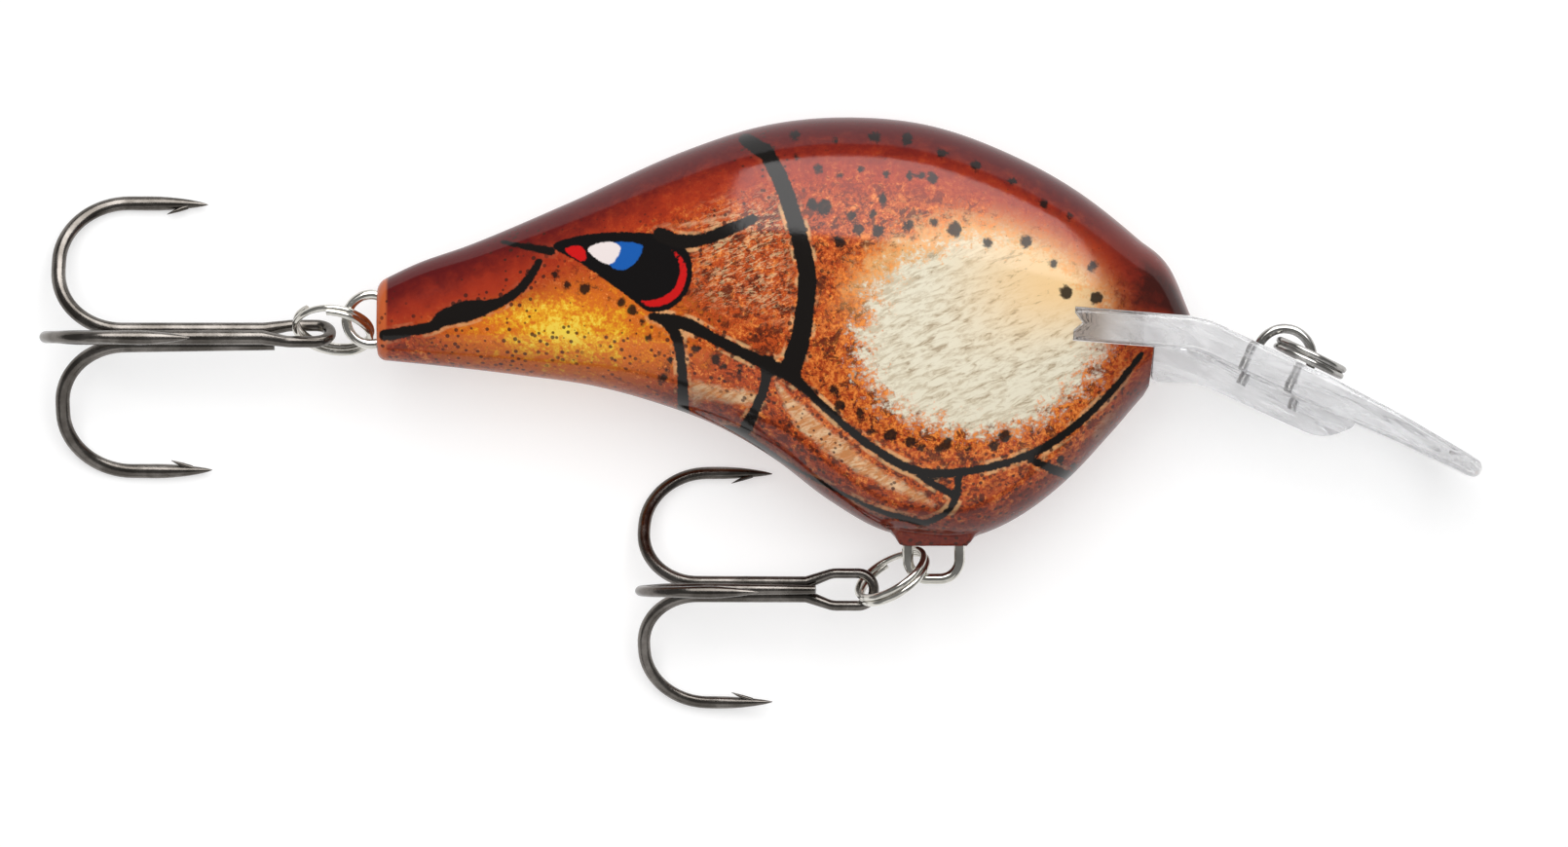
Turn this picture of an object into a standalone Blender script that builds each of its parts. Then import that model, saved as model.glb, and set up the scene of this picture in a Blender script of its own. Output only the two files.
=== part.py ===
"""Crankbait lure lying on its side, as separate pieces in metres.

Two carved body halves hold a rattle, a ballast weight and the wire hangers; a clear diving
lip sits in a slot in the nose.  Three split rings and two treble hooks swing on the wires.
+X runs to the nose, +Y to the back and +Z up, away from the surface that the lure lies on.
Sizes are in millimetres and are turned into metres where a mesh is made.
"""
import math

import bmesh
import bpy
from mathutils import Matrix, Vector

MM = 0.001

# ---------------------------------------------------------------- driving dimensions (mm)
BODY_LENGTH = 60.0
BODY_HEIGHT = 31.0
BODY_WIDTH = 17.6
BODY_STATIONS = 26
BODY_SIDES = 28
SEAM_GAP = 0.1            # glue line between the two halves
GLUE_GAP = 0.1            # glue line round what the body holds
TAIL_ROUNDING = 0.6

KEEL_LENGTH = 4.7         # small flat pad that the belly wire leaves through
KEEL_WIDTH = 3.4
KEEL_DROP = 0.55

LIP_THICKNESS = 2.4
LIP_TIP_THICKNESS = 1.3
LIP_BLADE_HALF_WIDTH = 8.6
LIP_NECK_HALF_WIDTH = 5.6
LIP_REACH = 21.4          # blade beyond the nose, measured along X
LIP_TANG = 8.7            # length held in the slot
LIP_SLOT_ANGLE = -4.5
LIP_BLADE_ANGLE = -25.6
LIP_TIP_ANGLE = -27.5
LIP_EDGE_ROUNDING = 0.35
LIP_TOP_AT_NOSE = 0.35
LIP_NOTCH_DEPTH = 0.7     # V across the end of the tang
NOTCH_MIDDLE = 0.1        # height of the V's point above the tang's middle
NOTCH_UPPER_SLOPE = 1.2
NOTCH_LOWER_SLOPE = 0.95
CHIN_START = -3.0         # block under the lip that anchors the line tie, from the nose
CHIN_END = 12.2
CHIN_DEPTH = 2.0          # below the lip's lower face
CHIN_WIDTH = 7.0
CHIN_ROUNDING = 0.5

HANGER_WIRE = 0.8         # belly hanger
HANGER_SPAN = 3.8
HANGER_DROP = 2.45        # wire centre below the keel
HANGER_CORNER = 1.45
HANGER_EMBED = 7.0

TAIL_WIRE = 0.74
TAIL_LOOP_RADIUS = 1.83   # to the wire's centre
TAIL_LOOP_OFFSET = 0.46   # loop centre behind the tail face
TAIL_LOOP_RISE = 0.18
TAIL_SHANK = 13.0
TAIL_PAIR_GAP = 0.03      # half the gap between the two ends side by side

TIE_WIRE = 0.72           # line-tie staple
TIE_RADIUS = 2.05
TIE_FROM_NOSE = 6.4       # along X, nose to the staple's middle
TIE_LEG = 3.3

RING_RADIUS = 2.8         # split rings, to the wire's centre
RING_WIRE = 0.5
RING_TURNS = 1.9
RING_PITCH = 0.54
TIE_RING_RADIUS = 2.6
TIE_RING_CROSSING = -0.85 # along the lip, from the staple's middle to the ring's wire
TIE_RING_LIFT = 0.2       # room under that ring

BALLAST_LENGTH = 9.0
BALLAST_RADIUS = 3.3
BALLAST_ABOVE_KEEL = 2.0

RATTLE_LENGTH = 16.0
RATTLE_WALL = 0.5
RATTLE_PLUG = 1.6
RATTLE_CLEARANCE = 0.08   # round each plug
BALL_RADIUS = 1.6
BALL_COUNT = 3
BALL_SIDE_GAP = 0.2       # between a ball and the tube's wall, when centred
BALL_END_GAP = 0.1        # between neighbours, and from the last ball to its plug

EYE_HALF_HEIGHT = 1.2     # hook eyes, to the wire's centre
EYE_LENGTH = 4.2
EYE_FLATTENING = 0.8
HOOK_POINT_TAPER = 2.8
HOOK_POINT_TIP = 0.1
BARB_LENGTH = 1.3
BARB_RADIUS = 0.2
BARB_ANGLE = 24.0
HOOK_SIDE_GAP = 0.06      # between the shanks of one treble

BELLY_HOOK = {"wire": 0.95, "length": 18.4, "gape": 9.3, "bend": 4.4, "reach": 9.3,
              "forward": 1.1, "slack": 0.3}
TAIL_HOOK = {"wire": 1.08, "length": 21.4, "gape": 10.85, "bend": 5.0, "reach": 10.9,
             "forward": 0.3, "slack": 1.45}

# How the rings lie: each hangs from where it crosses its wire's loop, along PULL to the
# treble, with its axis leaning as given.
BELLY_RING_CROSSING = (1.27, -1.17)   # from the hanger's rear leg and the keel, inside the U
BELLY_RING_PULL = (-0.86, -0.39, -0.32)
BELLY_RING_AXIS = (-0.49, 0.78, 0.39)
BELLY_RING_HOLD = -3.0                # round the ring, from opposite the crossing to the eye
TAIL_RING_CROSSING = (-0.8, -0.2)     # from the tail face's middle, inside the loop
TAIL_RING_PULL = (-0.895, -0.12, -0.43)
TAIL_RING_AXIS = (-0.19, -0.85, 0.50)
TAIL_RING_HOLD = 0.0
BELLY_HOOK_ROLL = 0.0                 # turn of the treble about its shank
TAIL_HOOK_ROLL = 120.0

# ---------------------------------------------------------------- the body's lines
# Heights are shares of BODY_HEIGHT and places along the lure are shares of BODY_LENGTH.
BACK_LINE = ((0.0, 0.094), (0.05, 0.140), (0.113, 0.183), (0.235, 0.283), (0.375, 0.405),
             (0.48, 0.469), (0.58, 0.487), (0.68, 0.467), (0.775, 0.402), (0.86, 0.312),
             (0.935, 0.198), (0.975, 0.125), (1.0, 0.013))
BELLY_LINE = ((0.0, -0.090), (0.083, -0.106), (0.175, -0.127), (0.267, -0.153),
              (0.342, -0.192), (0.415, -0.245), (0.485, -0.322), (0.555, -0.424),
              (0.62, -0.495), (0.68, -0.515), (0.73, -0.512), (0.79, -0.462),
              (0.85, -0.372), (0.905, -0.258), (0.95, -0.160), (1.0, -0.090))
HALF_WIDTH_LINE = ((0.0, 0.335), (0.1, 0.42), (0.25, 0.60), (0.4, 0.83), (0.52, 0.955),
                   (0.64, 1.0), (0.75, 0.965), (0.85, 0.85), (0.93, 0.68), (0.97, 0.54),
                   (1.0, 0.36))
SECTION_FULLNESS = 2.25   # 2 is an ellipse, more is squarer


def interpolate(line, at):
    """Height of a smooth curve through a line's points (Hermite, with level-safe slopes)."""
    xs = [point[0] for point in line]
    ys = [point[1] for point in line]
    at = min(max(at, xs[0]), xs[-1])
    index = max(i for i in range(len(xs) - 1) if xs[i] <= at)
    slopes = [(ys[i + 1] - ys[i]) / (xs[i + 1] - xs[i]) for i in range(len(xs) - 1)]

    def slope(i):
        if i == 0 or i == len(xs) - 1:
            return slopes[min(i, len(slopes) - 1)]
        return 0.5 * (slopes[i - 1] + slopes[i])

    width = xs[index + 1] - xs[index]
    t = (at - xs[index]) / width
    h00 = 2 * t ** 3 - 3 * t ** 2 + 1
    h10 = t ** 3 - 2 * t ** 2 + t
    h01 = -2 * t ** 3 + 3 * t ** 2
    h11 = t ** 3 - t ** 2
    ends = h00 * ys[index] + h01 * ys[index + 1]
    return ends + width * (h10 * slope(index) + h11 * slope(index + 1))


def back_height(x):
    return BODY_HEIGHT * interpolate(BACK_LINE, x / BODY_LENGTH)


def belly_height(x):
    return BODY_HEIGHT * interpolate(BELLY_LINE, x / BODY_LENGTH)


def half_width(x):
    return 0.5 * BODY_WIDTH * interpolate(HALF_WIDTH_LINE, x / BODY_LENGTH)


# ---------------------------------------------------------------- scene helpers
def clear_scene():
    for item in list(bpy.data.objects):
        bpy.data.objects.remove(item, do_unlink=True)


def make_collection(name):
    collection = bpy.data.collections.new(name)
    bpy.context.scene.collection.children.link(collection)
    return collection


def make_material(name, colour, roughness, metallic=0.0, alpha=1.0):
    material = bpy.data.materials.new(name)
    material.use_nodes = True
    shader = material.node_tree.nodes["Principled BSDF"]
    shader.inputs["Base Color"].default_value = (*colour, 1.0)
    shader.inputs["Roughness"].default_value = roughness
    shader.inputs["Metallic"].default_value = metallic
    shader.inputs["Alpha"].default_value = alpha
    material.diffuse_color = (*colour, alpha)
    return material


def make_empty(name, place, parent=None):
    """An empty on a joint's axis; place is in lure millimetres."""
    empty = bpy.data.objects.new(name, None)
    empty.empty_display_size = 2 * MM
    PARTS.objects.link(empty)
    empty.parent = parent
    offset = Vector(place) * MM
    if parent is not None:
        offset -= Vector(parent["place"])
    empty.location = offset
    empty["place"] = Vector(place) * MM
    return empty


def finish_object(name, mesh, material, parent, frame=None):
    """Link a mesh under its joint's empty; frame is its matrix in lure millimetres."""
    item = bpy.data.objects.new(name, mesh)
    PARTS.objects.link(item)
    mesh.materials.clear()
    mesh.materials.append(material)
    mesh.shade_smooth()
    mesh.set_sharp_from_angle(angle=math.radians(35))
    item.parent = parent
    place = frame.copy() if frame is not None else Matrix.Identity(4)
    place.translation = place.translation * MM - Vector(parent["place"])
    item.matrix_basis = place
    return item


def mesh_from_bmesh(shape, name):
    bmesh.ops.recalc_face_normals(shape, faces=shape.faces)
    mesh = bpy.data.meshes.new(name)
    shape.to_mesh(mesh)
    shape.free()
    return mesh


def loft(sections, name):
    """A closed mesh through rings of points (mm), each with the same number of points."""
    shape = bmesh.new()
    rings = [[shape.verts.new(Vector(point) * MM) for point in ring] for ring in sections]
    for first, second in zip(rings, rings[1:]):
        count = len(first)
        for i in range(count):
            j = (i + 1) % count
            shape.faces.new((first[i], first[j], second[j], second[i]))
    shape.faces.new(rings[0])
    shape.faces.new(rings[-1])
    return mesh_from_bmesh(shape, name)


def box(low, high, rounding, name):
    """A box between two corners (mm) with rounded edges."""
    shape = bmesh.new()
    bmesh.ops.create_cube(shape, size=1.0)
    low = Vector(low) * MM
    high = Vector(high) * MM
    size = high - low
    bmesh.ops.scale(shape, vec=size, verts=shape.verts)
    bmesh.ops.translate(shape, vec=(low + high) / 2, verts=shape.verts)
    if rounding > 0:
        bmesh.ops.bevel(shape, geom=shape.edges, offset=rounding * MM, segments=2,
                        profile=0.5, affect='EDGES')
    return mesh_from_bmesh(shape, name)


def cylinder(start, end, radius, name, sides=20):
    """A cylinder between two points (mm)."""
    start = Vector(start) * MM
    end = Vector(end) * MM
    axis = end - start
    shape = bmesh.new()
    bmesh.ops.create_cone(shape, cap_ends=True, segments=sides, radius1=radius * MM,
                          radius2=radius * MM, depth=axis.length)
    turn = axis.to_track_quat('Z', 'Y').to_matrix().to_4x4()
    turn.translation = (start + end) / 2
    bmesh.ops.transform(shape, matrix=turn, verts=shape.verts)
    return mesh_from_bmesh(shape, name)


def outline_solid(outline, half_depth, name):
    """A flat outline (mm, in XY) made a solid that reaches half_depth to both sides in Z."""
    curve = bpy.data.curves.new(name, 'CURVE')
    curve.dimensions = '2D'
    curve.fill_mode = 'BOTH'
    curve.extrude = half_depth * MM
    spline = curve.splines.new('POLY')
    spline.points.add(len(outline) - 1)
    for slot, point in zip(spline.points, outline):
        slot.co = (point[0] * MM, point[1] * MM, 0.0, 1.0)
    spline.use_cyclic_u = True
    return mesh_from_curve(curve, name)


def mesh_from_curve(curve, name):
    """Turn a curve into a closed mesh with its caps welded."""
    holder = bpy.data.objects.new(name, curve)
    PARTS.objects.link(holder)
    bpy.context.view_layer.update()
    mesh = bpy.data.meshes.new_from_object(
        holder.evaluated_get(bpy.context.evaluated_depsgraph_get()))
    bpy.data.objects.remove(holder, do_unlink=True)
    bpy.data.curves.remove(curve)
    shape = bmesh.new()
    shape.from_mesh(mesh)
    bpy.data.meshes.remove(mesh)
    bmesh.ops.remove_doubles(shape, verts=shape.verts, dist=1e-6)
    return mesh_from_bmesh(shape, name)


def rounded_path(points, radii, step=14.0):
    """Points (mm) with each inner corner turned into an arc; step is degrees per segment."""
    points = [Vector(point) for point in points]
    path = [points[0]]
    for i in range(1, len(points) - 1):
        before = (points[i - 1] - points[i]).normalized()
        after = (points[i + 1] - points[i]).normalized()
        radius = radii[i - 1]
        turn = math.pi - before.angle(after)
        if radius <= 0 or turn < 1e-3:
            path.append(points[i])
            continue
        length = radius * math.tan(turn / 2)
        middle = (before + after).normalized()
        centre = points[i] + middle * (radius / math.cos(turn / 2))
        first = points[i] + before * length - centre
        last = points[i] + after * length - centre
        count = max(2, math.ceil(math.degrees(turn) / step))
        for k in range(count + 1):
            path.append(centre + first.slerp(last, k / count).normalized() * radius)
    path.append(points[-1])
    return [p for i, p in enumerate(path) if i == 0 or (p - path[i - 1]).length > 0.02]


def wire_mesh(path, radius, name, scales=None, resolution=2):
    """A round wire (mm) along a path, as a closed mesh; scales thins it point by point."""
    curve = bpy.data.curves.new(name, 'CURVE')
    curve.dimensions = '3D'
    curve.bevel_depth = radius * MM
    curve.bevel_resolution = resolution
    curve.use_fill_caps = True
    spline = curve.splines.new('POLY')
    spline.points.add(len(path) - 1)
    for i, point in enumerate(path):
        spline.points[i].co = (*(Vector(point) * MM), 1.0)
        spline.points[i].radius = scales[i] if scales else 1.0
    return mesh_from_curve(curve, name)


def make_cutter(name, mesh, parent, frame=None):
    cutter = bpy.data.objects.new(name, mesh)
    CUTTERS.objects.link(cutter)
    cutter.parent = parent
    place = frame.copy() if frame is not None else Matrix.Identity(4)
    place.translation = place.translation * MM - Vector(parent["place"])
    cutter.matrix_basis = place
    cutter.hide_render = True
    cutter.display_type = 'WIRE'
    return cutter


def combine(item, other, operation):
    modifier = item.modifiers.new(f"{operation.lower()}_{other.name}", 'BOOLEAN')
    modifier.operation = operation
    modifier.solver = 'EXACT'
    modifier.object = other


# ---------------------------------------------------------------- body
def body_section(x, inset=0.0):
    """One ring of the body at x, drawn in by inset all round."""
    top = back_height(x) - inset
    bottom = belly_height(x) + inset
    middle = 0.5 * (top + bottom)
    reach = half_width(x) - inset
    ring = []
    for i in range(BODY_SIDES):
        angle = 2 * math.pi * i / BODY_SIDES
        across = math.copysign(abs(math.cos(angle)) ** (2 / SECTION_FULLNESS), math.cos(angle))
        upward = math.copysign(abs(math.sin(angle)) ** (2 / SECTION_FULLNESS), math.sin(angle))
        ring.append((x, middle + 0.5 * (top - bottom) * upward, reach * across))
    return ring


def body_blank():
    """The whole body before it is split: a loft from the tail face to the nose."""
    sections = [body_section(0.0, TAIL_ROUNDING),
                body_section(0.3 * TAIL_ROUNDING, 0.3 * TAIL_ROUNDING),
                body_section(TAIL_ROUNDING)]
    for i in range(1, BODY_STATIONS + 1):
        share = i / BODY_STATIONS
        eased = share - 0.06 * math.sin(2 * math.pi * share)
        sections.append(body_section(TAIL_ROUNDING + (BODY_LENGTH - TAIL_ROUNDING) * eased))
    return loft(sections, "body_blank")


def split_half(mesh, side, name):
    """Keep the blank on one side of the seam; side is +1 for the upper half, -1 below."""
    shape = bmesh.new()
    shape.from_mesh(mesh)
    plane = Vector((0, 0, side * 0.5 * SEAM_GAP * MM))
    cut = bmesh.ops.bisect_plane(shape, geom=shape.verts[:] + shape.edges[:] + shape.faces[:],
                                 dist=1e-7, plane_co=plane, plane_no=(0, 0, -side),
                                 clear_outer=True)
    edges = [e for e in cut["geom_cut"] if isinstance(e, bmesh.types.BMEdge)]
    bmesh.ops.holes_fill(shape, edges=edges, sides=0)
    return mesh_from_bmesh(shape, name)


def keel_middle():
    return HANGER_LEG_X + 0.5 * HANGER_SPAN


def make_body(parent):
    blank = body_blank()
    low = (keel_middle() - 0.5 * KEEL_LENGTH, KEEL_Y, -0.5 * KEEL_WIDTH)
    high = (keel_middle() + 0.5 * KEEL_LENGTH, KEEL_Y + 3.0, 0.5 * KEEL_WIDTH)
    pad = box(low, high, 0.5, "keel_pad")
    halves = []
    for side, name in ((1, "body_left_half"), (-1, "body_right_half")):
        half = finish_object(name, split_half(blank, side, name), WOOD, parent)
        half_pad = split_half(pad, side, f"{name}_keel")
        combine(half, make_cutter(f"{name}_keel", half_pad, parent), 'UNION')
        halves.append(half)
    return halves


# ---------------------------------------------------------------- lip
def lip_path():
    """Mid-thickness line of the lip in the centre plane, from the slot's end to the tip."""
    slot = math.radians(LIP_SLOT_ANGLE)
    blade = math.radians(LIP_BLADE_ANGLE)
    tip = math.radians(LIP_TIP_ANGLE)
    bend = Vector((BODY_LENGTH + 0.6, LIP_TOP_AT_NOSE - 0.5 * LIP_THICKNESS))
    base = bend - Vector((math.cos(slot), math.sin(slot))) * (LIP_TANG + 0.6)
    turn = bend + Vector((1.0, math.tan(blade))) * (0.66 * LIP_REACH)
    end = turn + Vector((1.0, math.tan(tip))) * (0.34 * LIP_REACH - 0.6)
    flat = [(p.x, p.y, 0.0) for p in (base, bend, turn, end)]
    return rounded_path(flat, (7.0, 16.0), step=4.0)


def resample(path, count):
    """Evenly spaced points along a path."""
    lengths = [0.0]
    for first, second in zip(path, path[1:]):
        lengths.append(lengths[-1] + (second - first).length)
    spaced = []
    for i in range(count):
        target = lengths[-1] * i / (count - 1)
        k = max(j for j in range(len(lengths) - 1) if lengths[j] <= target + 1e-9)
        share = (target - lengths[k]) / (lengths[k + 1] - lengths[k])
        spaced.append(path[k].lerp(path[k + 1], min(share, 1.0)))
    return spaced


def lip_half_width(x):
    """Flush with the body in the slot, a neck at the nose, then a spoon-shaped blade."""
    nose = BODY_LENGTH
    if x < nose - 0.6:
        return max(half_width(x) - 0.25, LIP_NECK_HALF_WIDTH)
    beyond = (x - nose) / LIP_REACH
    if beyond < 0.62:
        ease = 0.5 - 0.5 * math.cos(math.pi * max(beyond - 0.06, 0.0) / 0.56)
        return LIP_NECK_HALF_WIDTH + (LIP_BLADE_HALF_WIDTH - LIP_NECK_HALF_WIDTH) * ease
    rest = min((beyond - 0.62) / 0.38, 0.995)
    return LIP_BLADE_HALF_WIDTH * (1 - rest ** 2.6) ** 0.5


def lip_thickness(x):
    beyond = min(max((x - BODY_LENGTH - 0.45 * LIP_REACH) / (0.55 * LIP_REACH), 0.0), 1.0)
    return LIP_THICKNESS + (LIP_TIP_THICKNESS - LIP_THICKNESS) * beyond


def lip_section(point, along, half, thickness):
    """A rounded bar's outline across the lip at one point."""
    up = Vector((-along.y, along.x, 0.0))
    across = Vector((0, 0, 1))
    r = min(LIP_EDGE_ROUNDING, 0.4 * thickness, 0.4 * half)
    ring = []
    for side, level in ((1, 1), (-1, 1), (-1, -1), (1, -1)):
        corner_z = side * (half - r)
        corner_y = level * (0.5 * thickness - r)
        steps = (0, 45, 90) if side * level > 0 else (90, 45, 0)
        for step in steps:
            angle = math.radians(step)
            offset = across * (corner_z + side * r * math.cos(angle))
            offset += up * (corner_y + level * r * math.sin(angle))
            ring.append(point + offset)
    return ring


def make_lip(parent):
    path = resample(lip_path(), 30)
    path = path[:-1] + [path[-2].lerp(path[-1], t) for t in (0.4, 0.75, 0.93, 1.0)]
    sections = []
    for i, point in enumerate(path):
        before = path[max(i - 1, 0)]
        after = path[min(i + 1, len(path) - 1)]
        along = (after - before).normalized()
        sections.append(lip_section(point, along, lip_half_width(point.x),
                                    lip_thickness(point.x)))
    lip = finish_object("lip", loft(sections, "lip"), CLEAR_PLASTIC, parent)
    chin = outline_solid(chin_outline(), 0.5 * CHIN_WIDTH, "lip_chin")
    combine(lip, make_cutter("lip_chin", chin, parent), 'UNION')
    notch = outline_solid(notch_outline(0.0, -1.0), BODY_WIDTH, "lip_notch")
    combine(lip, make_cutter("lip_notch", notch, parent, slot_frame()), 'DIFFERENCE')
    return lip


def slot_frame():
    """Frame of the slot: origin at the middle of the tang's end, +X out of the nose."""
    frame = Matrix.Rotation(math.radians(LIP_SLOT_ANGLE), 4, 'Z')
    frame.translation = lip_path()[0]
    return frame


def notch_outline(margin, start):
    """The V across the tang's end: its upper foot, point and lower foot.

    The point is drawn back by a margin and both feet stand at start; the sides keep their
    slope, so the V in the body fits the V in the lip.
    """
    point = LIP_NOTCH_DEPTH - margin
    deep = point - start
    return [(start, NOTCH_MIDDLE + NOTCH_UPPER_SLOPE * deep), (point, NOTCH_MIDDLE),
            (start, NOTCH_MIDDLE - NOTCH_LOWER_SLOPE * deep)]


def chin_outline():
    """Side outline of the block, from behind the nose to its step on the blade."""
    floor = LIP_TOP_AT_NOSE - LIP_THICKNESS - CHIN_DEPTH - 0.35
    top = 0.5 * LIP_THICKNESS
    front = lip_point_beyond(CHIN_END)
    step = lip_point_beyond(CHIN_END - 2.6)
    low = Vector((0, -top - CHIN_DEPTH - 0.3, 0))
    start = BODY_LENGTH + CHIN_START
    corners = [(start + 0.3, LIP_TOP_AT_NOSE - 1.5, 0), (start, floor, 0),
               (BODY_LENGTH + 0.5, floor - 0.1, 0), step + low, front + Vector((0, -top, 0)),
               front + Vector((-1.0, 0.3, 0))]
    return rounded_path(corners, (CHIN_ROUNDING, 3.0, 3.0, CHIN_ROUNDING), step=30.0)


def lip_point_beyond(distance):
    """Centre-plane point of the lip's mid-thickness, a distance in X beyond the nose."""
    blade = math.radians(LIP_BLADE_ANGLE)
    start = Vector((BODY_LENGTH + 0.6, LIP_TOP_AT_NOSE - 0.5 * LIP_THICKNESS, 0.0))
    return start + Vector((1.0, math.tan(blade), 0.0)) * (distance - 0.6)


def cut_lip_slot(halves, parent):
    """The slot sawn through the nose for the lip's tang."""
    half = 0.5 * LIP_THICKNESS + GLUE_GAP
    reach = LIP_TANG + 6.0
    outline = [(-GLUE_GAP, half), *notch_outline(2 * GLUE_GAP, -GLUE_GAP),
               (-GLUE_GAP, -half), (reach, -half), (reach, half)]
    slot = outline_solid(outline, BODY_WIDTH, "lip_slot")
    cutter = make_cutter("lip_slot", slot, parent, slot_frame())
    start = BODY_LENGTH + CHIN_START - GLUE_GAP
    below = -BODY_HEIGHT
    outline = [(start + 0.35, 0.0), (start - 0.05, -4.7), (start - 0.5, -5.6),
               (start - 0.5, below), (start + 20, below), (start + 20, 0.0)]
    relief = outline_solid(outline, BODY_WIDTH, "chin_relief")
    relief_cutter = make_cutter("chin_relief", relief, parent)
    for half_body in halves:
        combine(half_body, relief_cutter, 'DIFFERENCE')
        combine(half_body, cutter, 'DIFFERENCE')


# ---------------------------------------------------------------- wires in the body and lip
def hanger_path():
    left = HANGER_LEG_X
    right = left + HANGER_SPAN
    top = KEEL_Y + HANGER_EMBED
    bottom = KEEL_Y - HANGER_DROP
    points = ((left, top, 0), (left, bottom, 0), (right, bottom, 0), (right, top, 0))
    return rounded_path(points, (HANGER_CORNER, HANGER_CORNER))


def make_belly_hanger(parent):
    mesh = wire_mesh(hanger_path(), 0.5 * HANGER_WIRE, "belly_hanger")
    return finish_object("belly_hanger", mesh, STEEL, parent)


def tail_hanger_path():
    """An eye behind the tail whose two ends run side by side into the body and spread."""
    centre = Vector((-TAIL_LOOP_OFFSET, TAIL_LOOP_RISE, 0.0))
    pair = 0.5 * TAIL_WIRE + TAIL_PAIR_GAP
    open_angle = math.radians(38)
    loop = []
    steps = 22
    for i in range(steps + 1):
        angle = open_angle + (2 * math.pi - 2 * open_angle) * i / steps
        loop.append(centre + TAIL_LOOP_RADIUS * Vector((math.cos(angle), math.sin(angle), 0)))
    neck = centre.x + TAIL_LOOP_RADIUS + 1.6
    upper = [Vector((TAIL_SHANK, centre.y + pair + 1.1, 0)),
             Vector((TAIL_SHANK - 1.5, centre.y + pair, 0)),
             Vector((neck, centre.y + pair, 0))]
    lower = [Vector((p.x, 2 * centre.y - p.y, 0)) for p in reversed(upper)]
    return upper + loop + lower


def make_tail_hanger(parent):
    mesh = wire_mesh(tail_hanger_path(), 0.5 * TAIL_WIRE, "tail_hanger")
    return finish_object("tail_hanger", mesh, STEEL, parent)


def tie_frame():
    """Frame of the line-tie staple: origin on the lip's upper face, +X along the blade."""
    frame = Matrix.Rotation(math.radians(LIP_BLADE_ANGLE), 4, 'Z')
    point = lip_point_beyond(TIE_FROM_NOSE)
    frame.translation = point + frame.to_3x3() @ Vector((0, 0.5 * LIP_THICKNESS, 0))
    return frame


def tie_path(leg):
    arch = [Vector((TIE_RADIUS * math.cos(a), TIE_RADIUS * math.sin(a), 0))
            for a in (math.pi * i / 14 for i in range(15))]
    return [Vector((TIE_RADIUS, -leg, 0))] + arch + [Vector((-TIE_RADIUS, -leg, 0))]


def make_line_tie(lip, parent):
    mesh = wire_mesh(tie_path(TIE_LEG), 0.5 * TIE_WIRE, "line_tie_wire")
    staple = finish_object("line_tie_wire", mesh, STEEL, parent, tie_frame())
    for side in (-1, 1):
        hole = cylinder((side * TIE_RADIUS, -TIE_LEG - GLUE_GAP, 0), (side * TIE_RADIUS, 2, 0),
                        0.5 * TIE_WIRE + 0.06, f"tie_hole_{side}", sides=10)
        name = "tie_hole_front" if side > 0 else "tie_hole_rear"
        combine(lip, make_cutter(name, hole, parent, tie_frame()), 'DIFFERENCE')
    return staple


# ---------------------------------------------------------------- what the body holds
def ballast_middle():
    return Vector((keel_middle(), KEEL_Y + BALLAST_ABOVE_KEEL + BALLAST_RADIUS, 0.0))


def make_ballast(parent):
    middle = ballast_middle()
    reach = Vector((0.5 * BALLAST_LENGTH, 0, 0))
    mesh = cylinder(middle - reach, middle + reach, BALLAST_RADIUS, "ballast", sides=20)
    ballast = finish_object("ballast", mesh, LEAD, parent)
    for index, x in enumerate((HANGER_LEG_X, HANGER_LEG_X + HANGER_SPAN)):
        hole = cylinder((x, KEEL_Y, 0), (x, KEEL_Y + HANGER_EMBED + GLUE_GAP, 0),
                        0.5 * HANGER_WIRE + 0.06, f"ballast_hole_{index}", sides=10)
        combine(ballast, make_cutter(f"ballast_hole_{index}", hole, parent), 'DIFFERENCE')
    return ballast


def rattle_middle():
    return Vector((0.575 * BODY_LENGTH, 0.13 * BODY_HEIGHT, 0.0))


def rattle_bore_radius():
    return BALL_RADIUS + BALL_SIDE_GAP


def rattle_radius():
    return rattle_bore_radius() + RATTLE_WALL


def make_rattle(parent):
    """A tube with a plug in each end; its balls are moving pieces."""
    middle = rattle_middle()
    reach = Vector((0.5 * RATTLE_LENGTH, 0, 0))
    mesh = cylinder(middle - reach, middle + reach, rattle_radius(), "rattle_tube", sides=20)
    tube = finish_object("rattle_tube", mesh, BRASS, parent)
    bore = cylinder(middle - 1.2 * reach, middle + 1.2 * reach, rattle_bore_radius(),
                    "rattle_bore", sides=20)
    combine(tube, make_cutter("rattle_bore", bore, parent), 'DIFFERENCE')
    for side, name in ((-1, "rattle_plug_rear"), (1, "rattle_plug_front")):
        outer = middle + side * reach
        inner = outer - side * Vector((RATTLE_PLUG, 0, 0))
        mesh = cylinder(inner, outer, rattle_bore_radius() - RATTLE_CLEARANCE, name, sides=20)
        finish_object(name, mesh, WHITE_PLASTIC, parent)
    return tube


def make_rattle_balls(parent):
    """Balls lying at the tail end of their tube, free to roll forward together."""
    middle = rattle_middle()
    first = middle.x - 0.5 * RATTLE_LENGTH + RATTLE_PLUG + BALL_RADIUS + BALL_END_GAP
    spacing = 2 * BALL_RADIUS + BALL_END_GAP
    lying = -0.6 * BALL_SIDE_GAP
    for index in range(BALL_COUNT):
        name = f"rattle_ball_{index + 1}"
        place = Vector((first + index * spacing, middle.y, lying))
        pivot = make_empty(f"{name}_travel", place, parent)
        shape = bmesh.new()
        bmesh.ops.create_uvsphere(shape, u_segments=12, v_segments=8, radius=BALL_RADIUS * MM)
        frame = Matrix.Translation(place)
        finish_object(name, mesh_from_bmesh(shape, name), STEEL, pivot, frame)


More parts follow.
